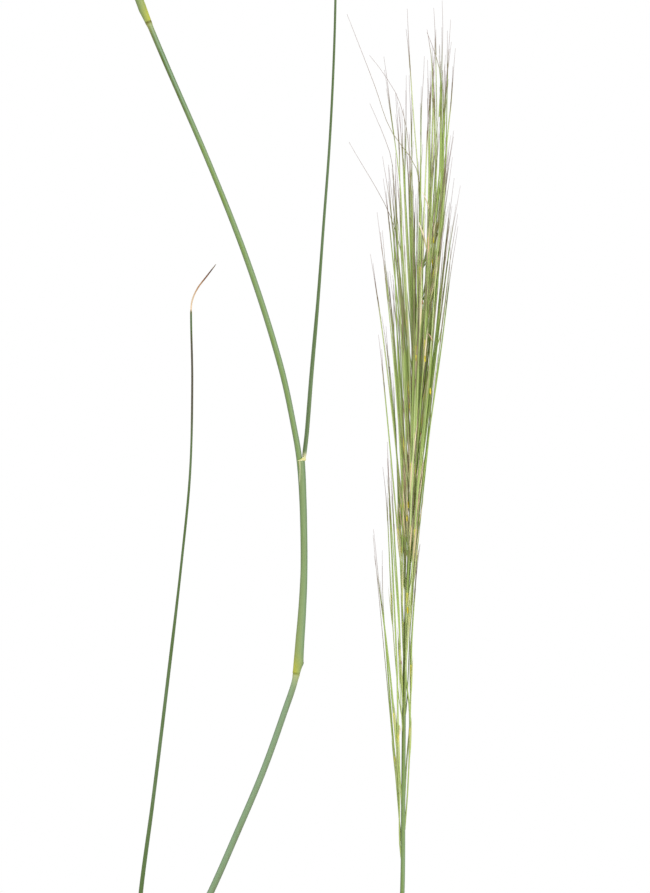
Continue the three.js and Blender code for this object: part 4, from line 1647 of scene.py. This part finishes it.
# %% The tiller with the tall leaf
TALL_SHEATH_TOP = 168
LEAF_BREAK = 455.3
LEAF_TIP = 471.1
DRY_AT_BREAK = 0.14
DRY_REACH = 18
TALL_PROFILE = [
    [120, 0.95],
    [172, 0.8],
    [262, 0.78],
    [281, 0.7],
    [292, 0.65],
    [325, 0.6],
    [345, 0.58],
    [354, 0.51],
    [366, 0.44],
    [392, 0.44],
    [412, 0.37],
    [420, 0.4],
    [455, 0.35],
    [456, 0.26],
    [463.2, 0.27],
    [467.2, 0.27],
    [470, 0.2],
    [LEAF_TIP, 0.1],
]
TALL_SIDE_BLADES = [(136, 214, 0.5, 1.8, 120), (143, 172, 0.7, 2, 105)]
heights = heights_between(120, 450, 3) + heights_between(450, LEAF_TIP, 0.7)[1:]
past_break = [z - LEAF_BREAK for z in heights]
tall_leaf = strand(
    [middle_at(TALL_LEAF_LINE, z) for z in heights],
    [value_at(TALL_PROFILE, z) for z in heights],
    Vector((0.55, -0.83, 0)),
    dry=[min(DRY_AT_BREAK + up / DRY_REACH, 1) if up > 0 else 0 for up in past_break],
    bronze=[0.85 * smooth_step(408, 426, z) * (1 - smooth_step(445, 450, z)) for z in heights],
    scar=[0.8 * math.exp(-((up / 0.5) ** 2)) for up in past_break],
    tint=0.12,
)
side_blades = []
for count, (height, degrees, *leans) in enumerate(TALL_SIDE_BLADES):
    start = middle_at(TALL_LEAF_LINE, height)
    side_blades.append(blade_strand(arched_points(start, math.radians(degrees), *leans), count + 7))
TALL_SHEATH_PROFILE = [[98, 1.4], [118, 1.5], [150, 1.22], [168, 0.86]]
sheath_heights = heights_between(LOW_END, TALL_SHEATH_TOP, 3)
tall_sheath = strand(
    [middle_at(TALL_LEAF_LINE, z) for z in sheath_heights],
    [value_at(TALL_SHEATH_PROFILE, z) for z in sheath_heights],
    BACK,
    yellow=[0.8 * (1 - smooth_step(112, 132, z)) for z in sheath_heights],
)
tall_parts = [
    blades_of("tall_leaf_blades", [tall_leaf, *side_blades]),
    swept("tall_leaf_sheath", [tall_sheath], SHEATH, sides=16),
]
settle(joined("tall_leaf_fine", tall_parts), "blade", "shoot_tall_leaf")

# %% [markdown]
# ## The crown of low shoots
# Twelve tillers stand in the soil on a sunflower spiral, so they are evenly crowded. The middle
# ones stand up, the outer ones lean out, and each opens a fan of six blades. Last year's leaves
# have broken off and left straw round every foot.

# %% Tillers with sheaths, blades and straw
SHOOTS = 12
SHOOT_BLADES = 6
CROWN_RADIUS = 21
SHOOT_RADIUS = 1.7
SHEATH_HEIGHT = 30
BLADE_LENGTH = 146
SHOOT_LEAN = (0.02, 0.22)
FAN = (2.4, 0.42)
LEAN_START = (0.05, 0.38)
LEAN_END = (0.7, 2)
CROWN_TURN = 2.575
CROWN_DRAW = 105
STRAW_STUBS = 7
STRAW_WIDTH = 0.42
STRAW_SINK = 2
STRAW_REACH = 1.3
OLD_BLADE_EVERY = 9


def shoot_place(count):
    radius = CROWN_RADIUS * math.sqrt((count + 0.5) / SHOOTS)
    turn = (count + CROWN_TURN) * GOLDEN_ANGLE
    return radius * math.cos(turn), radius * math.sin(turn), turn, radius / CROWN_RADIUS


def straw_strand(x, y, turn, draw):
    """A broken leaf of last year, curling away from a tiller's foot."""
    azimuth = turn + mix(-2.2, 2.2, spread(draw, 1))
    start = Vector((x, y, SOIL_TOP - STRAW_SINK)) + flat_direction(azimuth) * STRAW_REACH
    length = mix(12, 46, spread(draw, 0) ** 2)
    lean_end = mix(0.6, 2.3, spread(draw, 2))
    points = arched_points(start, azimuth, mix(0.1, 0.5, spread(draw, 3)), lean_end, length)
    fine = smooth_through(points, 2)
    widths = [STRAW_WIDTH * (1 - 0.5 * i / (len(fine) - 1)) for i in range(len(fine))]
    return strand(fine, widths, Vector((math.cos(azimuth), math.sin(azimuth), 0.3)), tint=0.5)


def build_shoot(count):
    x, y, turn, share = shoot_place(count)
    drift = mix(*SHOOT_LEAN, share) * SHEATH_HEIGHT
    top = SOIL_TOP + SHEATH_HEIGHT
    line = [
        [x, y, LOW_END],
        [x, y, SOIL_TOP + 3],
        [x + math.cos(turn) * drift, y + math.sin(turn) * drift, top],
    ]
    heights = heights_between(LOW_END, top, 2.5)
    sheath = strand(
        [middle_at(line, z) for z in heights],
        [mix(SHOOT_RADIUS, 1.1, smooth_step(SOIL_TOP + 3, top, z)) for z in heights],
        BACK,
        yellow=[0.9 * (1 - smooth_step(SOIL_TOP + 1, SOIL_TOP + 16, z)) for z in heights],
        dry=[0.35 * (1 - smooth_step(SOIL_TOP, SOIL_TOP + 6, z)) for z in heights],
    )
    blades = []
    for k in range(SHOOT_BLADES):
        draw = CROWN_DRAW + count * SHOOT_BLADES + k
        fan = mix(*FAN, share) * (((k + 0.5) / SHOOT_BLADES) * 2 - 1)
        start = middle_at(line, top - 4 - 14 * spread(draw, 2))
        lean_start = mix(*LEAN_START, share) + 0.1 * spread(draw, 0)
        lean_end = mix(*LEAN_END, share * 0.6 + 0.4 * spread(draw, 1))
        length = BLADE_LENGTH * mix(0.72, 1, spread(draw, 3))
        points = arched_points(start, turn + fan, lean_start, lean_end, length)
        old = draw % OLD_BLADE_EVERY == 0
        blades.append(blade_strand(points, draw, dry_from=-0.25 if old else None))
    stubs = [straw_strand(x, y, turn, count * STRAW_STUBS + k) for k in range(STRAW_STUBS)]
    parts = [
        blades_of(f"tiller_{count}_blades", blades),
        swept(f"tiller_{count}_sheath", [sheath], SHEATH, sides=14),
        swept(f"tiller_{count}_straw", stubs, STRAW, sides=5, thickness=0.35, curl=0.3),
    ]
    return joined(f"shoot_{count + 1:02d}_fine", parts)


for count in range(SHOOTS):
    settle(build_shoot(count), "blade", f"shoot_{count + 1:02d}")

# %% [markdown]
# ## The heads
# Each bristle of the CAD head stands for a whole spikelet, and here it becomes one. A short
# pedicel leaves the rachis. Two narrow glumes clasp a floret as thin as a needle. From its tip
# grows the column, which runs up the head for several centimetres and then parts into the three
# awns that name the grass. All of it follows the one middle line that the CAD rule gives, so the
# head keeps its narrow spindle form. Where the head is densest, more spikelets stand between the
# ones that the CAD model has, by the same rule. In the right head a few draws are left out, and the
# three top whorls swing further to the right than the CAD's, as on the real plant.

# %% The whorls of each head
RIGHT_WHORLS = [
    # height, how many, sideways lean, spread for each mm of rise, spikelets between, bare branch
    (318, 4, -0.035, 0.078, 0, 34),
    (334, 5, -0.045, 0.1, 0, 24),
    (348, 6, -0.045, 0.115, 1, 18),
    (360, 6, -0.035, 0.125, 3, 13),
    (372, 6, -0.035, 0.12, 10, 9),
    (386, 6, -0.025, 0.11, 12, 6),
    (400, 5, -0.015, 0.105, 10, 5),
    (412, 5, -0.005, 0.095, 8, 5),
    (424, 5, 0, 0.085, 4, 5),
    (436, 5, 0, 0.075, 1, 5),
    (447, 4, 0.25, 0.045, 0, 5),
    (458, 4, 0.43, 0.018, 0, 5),
    (469, 3, 0.4, 0.022, 0, 5),
]
# The real head has gaps where these draws would put a spikelet
RIGHT_GAPS = {7, 12, 13, 14, 17, 18, 20, 53, 57, 402, 411, 415, 420, 447}
# The same for the other two heads, with heights above the head's foot
SIDE_WHORLS = [
    (0, 3, 0, 0.07, 1, 42),
    (16, 3, 0, 0.08, 2, 34),
    (29, 4, 0, 0.09, 3, 24),
    (40, 4, 0, 0.1, 4, 16),
    (50, 4, 0, 0.11, 4, 10),
    (59, 4, 0, 0.11, 4, 7),
    (67, 4, 0, 0.11, 4, 5),
    (75, 4, 0, 0.1, 3, 5),
    (83, 3, 0, 0.08, 3, 5),
]
# Single awns that leave the right head on bent lines
STRAYS = [
    [[37.6, 0, 276], [35.6, 1, 300], [32, 2, 339], [28, 3, 381]],
    [[42.4, 0, 420], [44, -2, 470], [42.6, -4, 502], [33.6, -6, 516], [28.6, -7, 530], [19.3, -8, 554]],
    [[42, 0, 412], [40, 3, 455], [34.6, 5, 485], [20, 8, 512]],
    [[43, 0, 430], [50, 1, 446], [53.6, 2, 472], [56.2, 3, 488]],
    [[49.9, -4, 520], [50.3, -4, 534], [48.6, -4, 541], [45.9, -4, 548]],
    [[47.8, -4, 525], [47.4, -4, 539], [45.9, -4, 549]],
    [[39, 2, 440], [36, 2, 480], [34.3, 1.5, 505], [31.9, 1, 513], [26.9, 0, 524.6]],
    [
        [42, -3, 440], [41.5, -4, 470], [39.6, -5, 512],
        [36.6, -5, 525.4], [31.6, -5, 534.2], [26.8, -5, 540.4],
    ],
]


def raised(foot):
    """The side whorls of a head whose foot is at a height."""
    return [(foot + rise, *rest) for rise, *rest in SIDE_WHORLS]


# Each head: its culm's line, its sheath's mouth, its whorls, the height of its tips and its gaps
HEADS = {
    "head_left": (LEFT_LINE, 604, raised(622), 768, set()),
    "head_right": (RIGHT_LINE, 228, RIGHT_WHORLS, 557, RIGHT_GAPS),
    "head_outer": (OUTER_LINE, 316, raised(350), 510, set()),
}
print({name: sum(whorl[1] + whorl[4] for whorl in head[2]) for name, head in HEADS.items()}, "spikelets")

# %% [markdown]
# A rule gives the form of a head but not its face. Some spikelets of the right head catch the eye:
# the lowest seven, which stand free beside the stalk, those that overtop the rest, and those that
# lie on the front, where their pale glumes and yellow anthers show. These are given one by one,
# each with its own line from the rachis up to the awn tips.

# %% Spikelets that are given one by one: bare branch in mm, then the line
LOWEST = [
    (42, [
        [37.9, 0, 270], [37.3, 0, 274], [36.8, 0, 280],
        [36.6, -0.5, 298], [33.6, -1, 335], [27.5, -1, 383],
    ]),
    (10, [
        [36.7, 0, 287], [36.1, 0.7, 297], [34.8, 1, 311],
        [32.6, 1, 340], [30.8, 1, 365], [30.4, 1, 376],
    ]),
    (14, [
        [37.6, 0, 290], [36.5, -1, 309], [35.9, -1.5, 337],
        [34.3, -1.5, 373], [33.2, -1, 396], [32.6, 0, 412],
    ]),
    (24, [
        [38.5, 0, 283], [39.6, 0, 298], [40.3, 0, 321],
        [38.9, -1, 335], [40.1, -1, 353], [42.8, -1, 388],
    ]),
    (34, [
        [38.5, 0, 294], [39.2, 1, 306], [40.3, 1, 320],
        [40.8, 1, 345], [42.2, 1, 366], [43.2, 1, 378],
    ]),
    (10, [
        [38.2, 0, 319], [37, -1.5, 341], [36.6, -2, 355],
        [35.3, -2, 376], [34.4, -2, 392], [32.8, -2, 406],
    ]),
    (24, [
        [38.5, 0, 318], [38.2, 1.2, 340], [37.6, 1.5, 360],
        [36.6, 1.5, 385], [36, 1.5, 405], [35.4, 1.5, 420],
    ]),
]
LEADERS = [
    (12, [[43, 0, 440], [43.4, -1, 492], [41.3, -2, 522], [38.9, -3, 556]]),
    (12, [
        [42.3, 0, 430], [40, -2.5, 442], [37.6, -4.5, 479],
        [37.1, -5, 496], [33, -5, 527], [30.8, -5, 540],
    ]),
    (12, [
        [43.7, 0, 447], [46, -3, 456], [49, -5.5, 470],
        [50.7, -4.5, 512], [50.4, -4, 549], [49.9, -4, 558.6],
    ]),
    (8, [[43.6, 0, 444], [46.6, -3.5, 472], [47.6, -4, 505], [47.9, -4, 526], [48.4, -4, 547.4]]),
    (8, [[44, 0, 450], [49, -1.5, 474], [51.4, -1.5, 511], [52.5, -1.5, 533], [53.8, -1.5, 545]]),
    (8, [[44, 0, 446], [50, 1.5, 474], [52.6, 1.5, 512], [54.1, 1.5, 527], [54.7, 1.5, 543]]),
    (20, [[43.2, 0, 440], [43.6, -6, 466], [43.8, -6.5, 500], [43.9, -6, 540]]),
    (8, [
        [41.6, 0, 418], [39.5, 1.5, 440], [37.6, 2, 470],
        [36.9, 2, 499], [36.6, 2, 512], [35.2, 2, 528],
    ]),
    (8, [
        [42.4, 0, 424], [41.2, 2.5, 450], [39.6, 3, 480],
        [38.6, 3, 499], [38.9, 3, 512], [38.6, 3, 534],
    ]),
    (9, [[39.9, 0, 372], [38.3, 2, 392], [36.6, 2.5, 420], [35, 2.5, 445], [34.3, 2.5, 466]]),
    (9, [[40, 0, 374], [42.4, 2, 394], [44.2, 2.5, 420], [46, 2.5, 450], [47, 2, 470]]),
    (8, [
        [41, 0, 392], [38.6, -2, 408], [36.9, -3, 426],
        [35.6, -3.5, 459], [34.7, -3.5, 486], [33.9, -3.5, 504],
    ]),
    (8, [
        [41.4, 0, 400], [39.2, -1, 416], [37.6, -2, 440],
        [36.9, -2.2, 459], [35.9, -2.2, 486], [34.9, -2, 508],
    ]),
]
FRONT_SPIKELETS = [
    (27, [[41.9, 0, 409], [44.6, -6, 436], [45.6, -6.8, 456], [47.1, -6.5, 495], [47.6, -6, 516]]),
    (29, [[41.2, 0, 396], [45.6, -5.5, 425], [47.3, -6, 446], [50.3, -5.5, 490], [51.3, -5, 503]]),
    (22, [[42, 0, 412], [42, -6, 434], [42.6, -6.5, 456], [43.5, -6, 500], [43.7, -5.5, 516]]),
    (23, [[42.8, 0, 426], [43.5, -6.2, 449], [44.6, -6.5, 480], [45.6, -6.2, 505], [46.6, -6, 530]]),
    (23, [[43.7, 0, 447], [46, -6, 470], [46.2, -6.4, 482], [46.8, -5.5, 515], [47.4, -5, 540]]),
    (22, [[40, 0, 373], [40.3, -4.6, 396], [41, -5.5, 425], [41.6, -6, 450], [42, -6, 475]]),
    (19, [[40.6, 0, 386], [41.1, -5, 405], [42.4, -5.6, 421], [43.8, -6, 465], [44.4, -5.5, 490]]),
    (17, [[39.1, 0, 356], [41.2, -3.6, 373], [43, -4.5, 400], [47.8, -5, 450], [49, -4.5, 462]]),
    (18, [[38.3, 0, 326], [39.2, -2.6, 344], [41.3, -3, 372], [44.5, -3.5, 420], [45.3, -3.5, 430]]),
    (22, [[38.1, 0, 311], [36.8, -1.8, 334], [36.9, -2, 345], [33.7, -2.5, 390], [32.3, -2.5, 412]]),
]
# Old glumes that have worked loose and lie bent across the front: half width, flush, then the line
HUSKS = [
    (0.3, 0.2, [
        [45.6, -6.9, 476], [45.3, -7.1, 478.2], [44.6, -7.2, 480.9],
        [43.6, -7.1, 483.5], [43.2, -7, 485],
    ]),
    (0.2, 0.4, [
        [46.8, -6.4, 487], [46.6, -6.8, 489], [45.9, -6.9, 491.5],
        [45.1, -6.8, 493.5], [44.3, -6.6, 495],
    ]),
    (0.22, 1, [[47.9, -6.3, 445], [47.2, -6.5, 446.6], [46.3, -6.6, 448]]),
    (0.26, 0.1, [[36.6, -1.6, 318], [36.9, -2, 316.6], [36.7, -1.6, 314]]),
]
# Where the upper ends of the anthers are that hang on the front
FRONT_ANTHERS = [[45, -7.2, 440.7], [46.8, -6.6, 430], [42.1, -7, 441]]
print(len(LOWEST) + len(LEADERS) + len(FRONT_SPIKELETS), "spikelets set by hand")


# %% One spikelet's middle line
SPIKELET_SHORTEST = 78
SPIKELET_LONGEST = 104
TIP_SCATTER = 22
ROOT_FLARE = 1.1
FLARE_RISE = 5
HOLLOW = 0.45
DEPTH_SHARE = 0.8
FRONT_TURN = -1.4
SWING_BACK = 36


def sideways(lean, rise):
    """Low spikelets lean away all along; the top ones swing to the right and come back upright."""
    return lean * rise * (math.exp(-rise / SWING_BACK) if lean > 0 else 1)


def spikelet_line(line, root, tips, count, lean, reach, bare):
    """A function from a share of the length to its place, that length, its side and bare branch."""
    full = mix(SPIKELET_SHORTEST, SPIKELET_LONGEST, spread(count, 0))
    length = min(full, tips - TIP_SCATTER * spread(count, 2) - root)
    turn = count * GOLDEN_ANGLE
    slope = reach * math.sqrt(mix(HOLLOW, 1, spread(count, 1)))

    def place(share):
        rise = share * length
        out = slope * rise + ROOT_FLARE * (1 - math.exp(-rise / FLARE_RISE))
        middle = middle_at(line, root + rise)
        middle.x += sideways(lean, rise) + out * math.cos(turn)
        middle.y += DEPTH_SHARE * out * math.sin(turn)
        return middle

    return place, length, turn, bare


def placed_line(bare, points):
    """The same four things for a listed spikelet that faces the front."""
    foot, tip = points[0][2], points[-1][2]
    return (lambda share: middle_at(points, mix(foot, tip, share))), tip - foot, FRONT_TURN, bare


def stray_strand(points):
    """One awn that leaves the head on a bent line of its own, dry and brown."""
    heights = heights_between(points[0][2], points[-1][2], 4)
    shares = evenly(0, 1, len(heights) - 1)
    places = [middle_at(points, z) for z in heights]
    widths = [mix(0.26, 0.05, share) for share in shares]
    return strand(places, widths, BACK, stage=[mix(0.6, 0.95, share) for share in shares], tint=0.4)


# %% The parts of one spikelet
FLORET_LENGTH = 11
COLUMN_RADIUS = 0.28
AWN_RADIUS = 0.15
AWN_TIP_RADIUS = 0.045
GLUME_WIDTHS = [0.18, 0.36, 0.46, 0.44, 0.36, 0.27, 0.16, 0.03]
RIPE_FROM = 30
RIPE_BY = 110
SPLIT = (0.7, 0.86)
BETWEEN_DRAW = 400
BETWEEN_RISE = 9
BETWEEN_REACH = 1.32
KNOT_REACH = 2.5
STRONG = 1.12
SLIM = (0.66, 1.04)
BEAK_LENGTH = 3
JOINT_STAGE = 0.185
AWN_STEPS = 8
GLUME_LENGTHS = ((12, 15), (16, 20))


def spread_out(values, per_span):
    """More values, evenly between the given ones, ends included."""
    fine = [mix(a, b, i / per_span) for a, b in zip(values, values[1:]) for i in range(per_span)]
    return [*fine, values[-1]]


def inner_shade_and_tone(count, k, turn):
    """From 0, pale, to 1, deep green: painted shade on inner strands, a random tone, deeper on the right.
    """
    rightness = 0.5 + 0.5 * math.cos(turn)
    return 0.35 * (1 - spread(count, 1)) + 0.4 * spread(count * 3 + k, 3) + 0.25 * rightness


def slimness(count):
    """Some spikelets are much finer than others; the lowest ones are strong."""
    return STRONG if count < len(LOWEST) else mix(*SLIM, spread(count * 5, 1))


def column_strand(place, length, turn, bare, count, split):
    """Branch, floret and column in one run, up to the dark knot where the awns part."""
    floret_foot = bare / length
    floret_top = floret_foot + FLORET_LENGTH / length
    beak = floret_top + BEAK_LENGTH / length
    knot_foot = split - 3 * KNOT_REACH / length
    shares = [
        *evenly(0, floret_foot, max(round(bare / 4), 2)),
        *evenly(floret_foot, beak, 10)[1:],
        *evenly(beak, knot_foot, 8)[1:],
        *evenly(knot_foot, split, 4)[1:],
    ]
    stages = [
        JOINT_STAGE * share / floret_top if share < floret_top else max(share, JOINT_STAGE)
        for share in shares
    ]
    profile = [
        [0, 0.24],
        [floret_foot - 1 / length, 0.22],
        [floret_foot + 2 / length, 0.34],
        [floret_top - 4 / length, 0.4],
        [floret_top, 0.28],
        [floret_top + 1 / length, 0.33],
        [beak, COLUMN_RADIUS],
        [split, COLUMN_RADIUS * 0.78],
    ]
    return strand(
        [place(share) for share in shares],
        [value_at(profile, share) * slimness(count) for share in shares],
        flat_direction(turn),
        stage=stages,
        knot=[0.8 * math.exp(-(((split - share) * length / KNOT_REACH) ** 2)) for share in shares],
        tint=inner_shade_and_tone(count, 0, turn),
    )


def awn_strands(place, length, turn, count, split):
    """Three awns that part at the column's top, the middle one longest."""
    awns = []
    for k in range(3):
        direction = flat_direction(turn + k * 2 * math.pi / 3 + spread(count, 2))
        end = 1 if k == 0 else mix(0.84, 0.97, spread(count * 3 + k, 1))
        open_up = mix(0.012, 0.06, spread(count * 3 + k, 0))
        shares = evenly(split - 0.01, end, AWN_STEPS)
        points = []
        for share in shares:
            rise = max(share - split, 0) * length
            points.append(place(share) + direction * (0.1 + open_up * rise * min(rise / 18, 1)))
        widths = [mix(AWN_RADIUS, AWN_TIP_RADIUS, share**0.8) for share in evenly(0, 1, AWN_STEPS)]
        awns.append(
            strand(points, widths, flat_direction(turn), stage=shares, tint=inner_shade_and_tone(count, k, turn))
        )
    return awns


def glume_strands(place, length, turn, bare, count, ripe):
    """Two keeled glumes, the second longer, that clasp the floret; unripe ones are green."""
    glumes = []
    steps = len(GLUME_WIDTHS) - 1
    for k, lengths in enumerate(GLUME_LENGTHS):
        size = mix(*lengths, spread(count, k))
        outward = flat_direction(turn + k * math.pi + 0.5)
        foot = (bare - 0.8 + 0.7 * k) / length
        shares = evenly(foot, foot + size / length, steps)
        away = mix(0.25, 0.9, spread(count * 2 + k, 3))
        points = [place(share) + outward * (0.2 + away * i / steps) for i, share in enumerate(shares)]
        widths = [mix(0.75, 1, ripe) * slimness(count) * width for width in GLUME_WIDTHS]
        flush = spread(count * 2 + k, 2)
        green = [(1 - ripe) * mix(1, 0.55, share) for share in evenly(0, 1, steps)]
        glumes.append(strand(points, widths, outward, tint=flush * ripe, green=green))
    return glumes


def husk_strand(half_width, flush, points):
    """A loose glume, widest halfway along."""
    places = [Vector(point) for point in points]
    last = len(points) - 1
    widths = [half_width * mix(0.4, 1, math.sin(math.pi * i / last)) for i in range(last + 1)]
    return strand(smooth_through(places, 3), spread_out(widths, 3), Vector((0, -1, 0)), tint=flush)


# %% [markdown]
# The anthers hang out of a few open florets on threads. They are the only bright spots in the
# head, so they are few and small. Older ones have shrunk to rusty specks.

# %% Anthers
ANTHER_LENGTH = 2.3
ANTHER_OUTLINE = [0.35, 0.9, 1, 0.85, 0.2]
ANTHER_EVERY = 6
ANTHER_OFFSET = 2
FRESH_SHARE = 0.6


def anther_strand(place, share, side, drop, half_width):
    """An anther that hangs from a share of a spikelet's line, on the given side."""
    direction = flat_direction(side)
    top = place(share) + direction * 0.75
    bottom = top + direction * 0.25 - UP * drop
    points = [top, top.lerp(bottom, 0.2), top.lerp(bottom, 0.55), top.lerp(bottom, 0.85), bottom]
    return strand(points, [half_width * thick for thick in ANTHER_OUTLINE], direction, tint=0.5)


def anther_parts(name, spikelets, foot):
    """Anthers for every sixth ripe spikelet, most of them fresh."""
    fresh, rusty = [], []
    for index, (place, length, _, bare) in spikelets:
        if (index + ANTHER_OFFSET) % ANTHER_EVERY or place(0).z < foot + RIPE_FROM:
            continue
        share = (bare + mix(4, 10, spread(index, 1))) / length
        side = mix(-2.4, -0.7, spread(index, 2))
        if spread(index, 3) < FRESH_SHARE:
            fresh.append(anther_strand(place, share, side, ANTHER_LENGTH, 0.24))
        else:
            rusty.append(anther_strand(place, share, side, ANTHER_LENGTH * 0.6, 0.16))
    parts = []
    if fresh:
        parts.append(swept(f"{name}_anthers", fresh, ANTHER, sides=6))
    if rusty:
        parts.append(swept(f"{name}_withered", rusty, WITHERED, sides=5))
    return parts


# %% The stalk, and what lies on the front of the head
STALK_TUCK = 9.7
STALK_OVER = 6
STALK_RADII = (0.84, 0.4)


def stalk_strand(line, mouth, top):
    """The bare stalk out of the sheath's mouth, and the rachis that it becomes."""
    heights = heights_between(mouth - STALK_TUCK, top, 3)
    return strand(
        [middle_at(line, z) for z in heights],
        [mix(*STALK_RADII, (z - mouth) / (top - mouth)) for z in heights],
        BACK,
        ring=[0.55 * smooth_step(mouth + 60, mouth + 140, z) for z in heights],
    )


def front_parts(name):
    """The anthers and loose glumes that are listed one by one."""
    anthers = []
    for top in FRONT_ANTHERS:
        anthers.append(anther_strand(lambda share: Vector(top), 0, FRONT_TURN, ANTHER_LENGTH, 0.26))
    return [
        swept(f"{name}_front_anthers", anthers, ANTHER, sides=6),
        swept(f"{name}_husks", [husk_strand(*husk) for husk in HUSKS], GLUME, thickness=0.35, curl=0.4),
    ]


# %% Build the heads
def head_spikelets(name, line, whorls, tips, gaps):
    """Every spikelet of a head with its count; the gaps are left out only after the counting."""
    lines, between = [], []
    if name == "head_right":
        lines += [placed_line(bare, points) for bare, points in LOWEST]
    for root, many, lean, reach, more, bare in whorls:
        for _ in range(many):
            lines.append(spikelet_line(line, root, tips, len(lines), lean, reach, bare))
        for _ in range(more):
            count = BETWEEN_DRAW + len(between)
            higher = root + BETWEEN_RISE * spread(count, 3)
            between.append(spikelet_line(line, higher, tips, count, lean, reach * BETWEEN_REACH, bare))
    gaps = {gap if gap < BETWEEN_DRAW else gap - BETWEEN_DRAW + len(lines) for gap in gaps}
    lines += between
    if name == "head_right":
        lines += [placed_line(bare, points) for bare, points in (*LEADERS, *FRONT_SPIKELETS)]
    return [(count, spikelet) for count, spikelet in enumerate(lines) if count not in gaps]


def build_head(name, line, mouth, whorls, tips, gaps, strays):
    spikelets = head_spikelets(name, line, whorls, tips, gaps)
    lowest_place = spikelets[0][1][0]
    foot = lowest_place(0).z
    columns, awns, glumes = [], [], []
    for count, (place, length, turn, bare) in spikelets:
        split = mix(*SPLIT, spread(count, 1))
        columns.append(column_strand(place, length, turn, bare, count, split))
        awns += awn_strands(place, length, turn, count, split)
        ripe = smooth_step(foot + RIPE_FROM, foot + RIPE_BY, place(0).z)
        glumes += glume_strands(place, length, turn, bare, count, ripe)
    awns += [stray_strand(points) for points in strays]
    stalk = stalk_strand(line, mouth, whorls[-1][0] + STALK_OVER)
    parts = [
        swept(f"{name}_stalk", [stalk], CULM, sides=14),
        swept(f"{name}_columns", columns, BRISTLE, sides=6),
        swept(f"{name}_awns", awns, BRISTLE, sides=3),
        swept(f"{name}_glumes", glumes, GLUME, sides=8, thickness=0.3, curl=0.55),
        *anther_parts(name, spikelets, foot),
    ]
    if name == "head_right":
        parts += front_parts(name)
    return joined(f"{name}_fine", parts)


for name, (line, mouth, whorls, tips, gaps) in HEADS.items():
    strays = STRAYS if name == "head_right" else []
    settle(build_head(name, line, mouth, whorls, tips, gaps, strays), "head", name)

# %% [markdown]
# ## Floor, light and camera
# The plant is shown as on a light table: white all round, with light from everywhere and only a
# little more from the upper right. The camera looks level from far off with a long lens, so the
# stems keep their true lengths. The floor fades into the white before its edge can be seen.

# %% The floor
FLOOR_RADIUS = 5.2


def floor_material():
    material, tree, shader, place = new_material("pale_floor", 0.9, 0.1)
    grain = noise_at(tree, place, 14.0, 4)
    feed(tree, shader["Base Color"], blend(tree, grain, paint(238, 237, 234), paint(246, 245, 243)))
    distance = add(tree, "ShaderNodeVectorMath", operation="LENGTH")
    feed(tree, distance.inputs[0], place)
    glow = add(tree, "ShaderNodeEmission")
    glow.inputs["Color"].default_value = (1, 1, 1, 1)
    fade = add(tree, "ShaderNodeMixShader")
    feed(tree, fade.inputs["Fac"], between(tree, distance.outputs["Value"], 0.5, 2.6))
    feed(tree, fade.inputs[1], tree.nodes["Principled BSDF"].outputs["BSDF"])
    feed(tree, fade.inputs[2], glow.outputs["Emission"])
    feed(tree, tree.nodes["Material Output"].inputs["Surface"], fade.outputs["Shader"])
    return material


bpy.ops.mesh.primitive_circle_add(vertices=96, radius=FLOOR_RADIUS, fill_type="NGON")
floor = bpy.context.object
floor.name = "floor"
floor.data.materials.append(floor_material())
floor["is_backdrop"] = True
print("floor across, m:", 2 * FLOOR_RADIUS)

# %% Soft light from all round, and a white sky that only the camera sees at full strength
world = bpy.data.worlds.new("light_table")
bpy.context.scene.world = world
world.use_nodes = True
sky = world.node_tree
backdrop = sky.nodes["Background"]
backdrop.inputs["Color"].default_value = (1, 1, 1, 1)
seen = add(sky, "ShaderNodeLightPath").outputs["Is Camera Ray"]
SKY_LIGHT = 0.72
feed(sky, backdrop.inputs["Strength"], maths(sky, "MULTIPLY_ADD", seen, 1 - SKY_LIGHT, SKY_LIGHT))


def area_light(name, place, target, size, power):
    light = bpy.data.lights.new(name, "AREA")
    light.shape = "DISK"
    light.size = size
    light.energy = power
    lamp = new_object(name, light)
    lamp.location = place
    lamp.rotation_euler = (Vector(target) - Vector(place)).to_track_quat("-Z", "Y").to_euler()
    return lamp


area_light("key", (1.4, -1.9, 1.9), (0, 0, 0.35), 1.2, 46)
area_light("fill", (-2.1, -1.4, 1.0), (0, 0, 0.35), 1.6, 14)
area_light("back", (0.4, 2.2, 1.6), (0, 0, 0.35), 1.4, 22)
print("lights:", [light.name for light in bpy.data.lights])
bpy.context.scene.view_settings.view_transform = "Standard"

# %% The camera
PHOTO_HEIGHT = 297
CAMERA_DISTANCE = 3500
SENSOR = 36
camera = new_object("camera", bpy.data.cameras.new("camera"))
camera.data.sensor_width = SENSOR
camera.data.lens = SENSOR * CAMERA_DISTANCE / PHOTO_HEIGHT
camera.location = Vector((12, -CAMERA_DISTANCE, 410.5)) * MM
camera.rotation_euler = (math.pi / 2, 0, 0)
bpy.context.scene.camera = camera
print("lens, mm:", round(camera.data.lens))

# %% Compare the sizes
dressed_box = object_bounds()
growth = [
    [round((new - old) / MM, 1) for new, old in zip(new_corner, old_corner)]
    for new_corner, old_corner in zip(dressed_box, cad_box)
]
print("visual box less CAD box, mm:", growth)
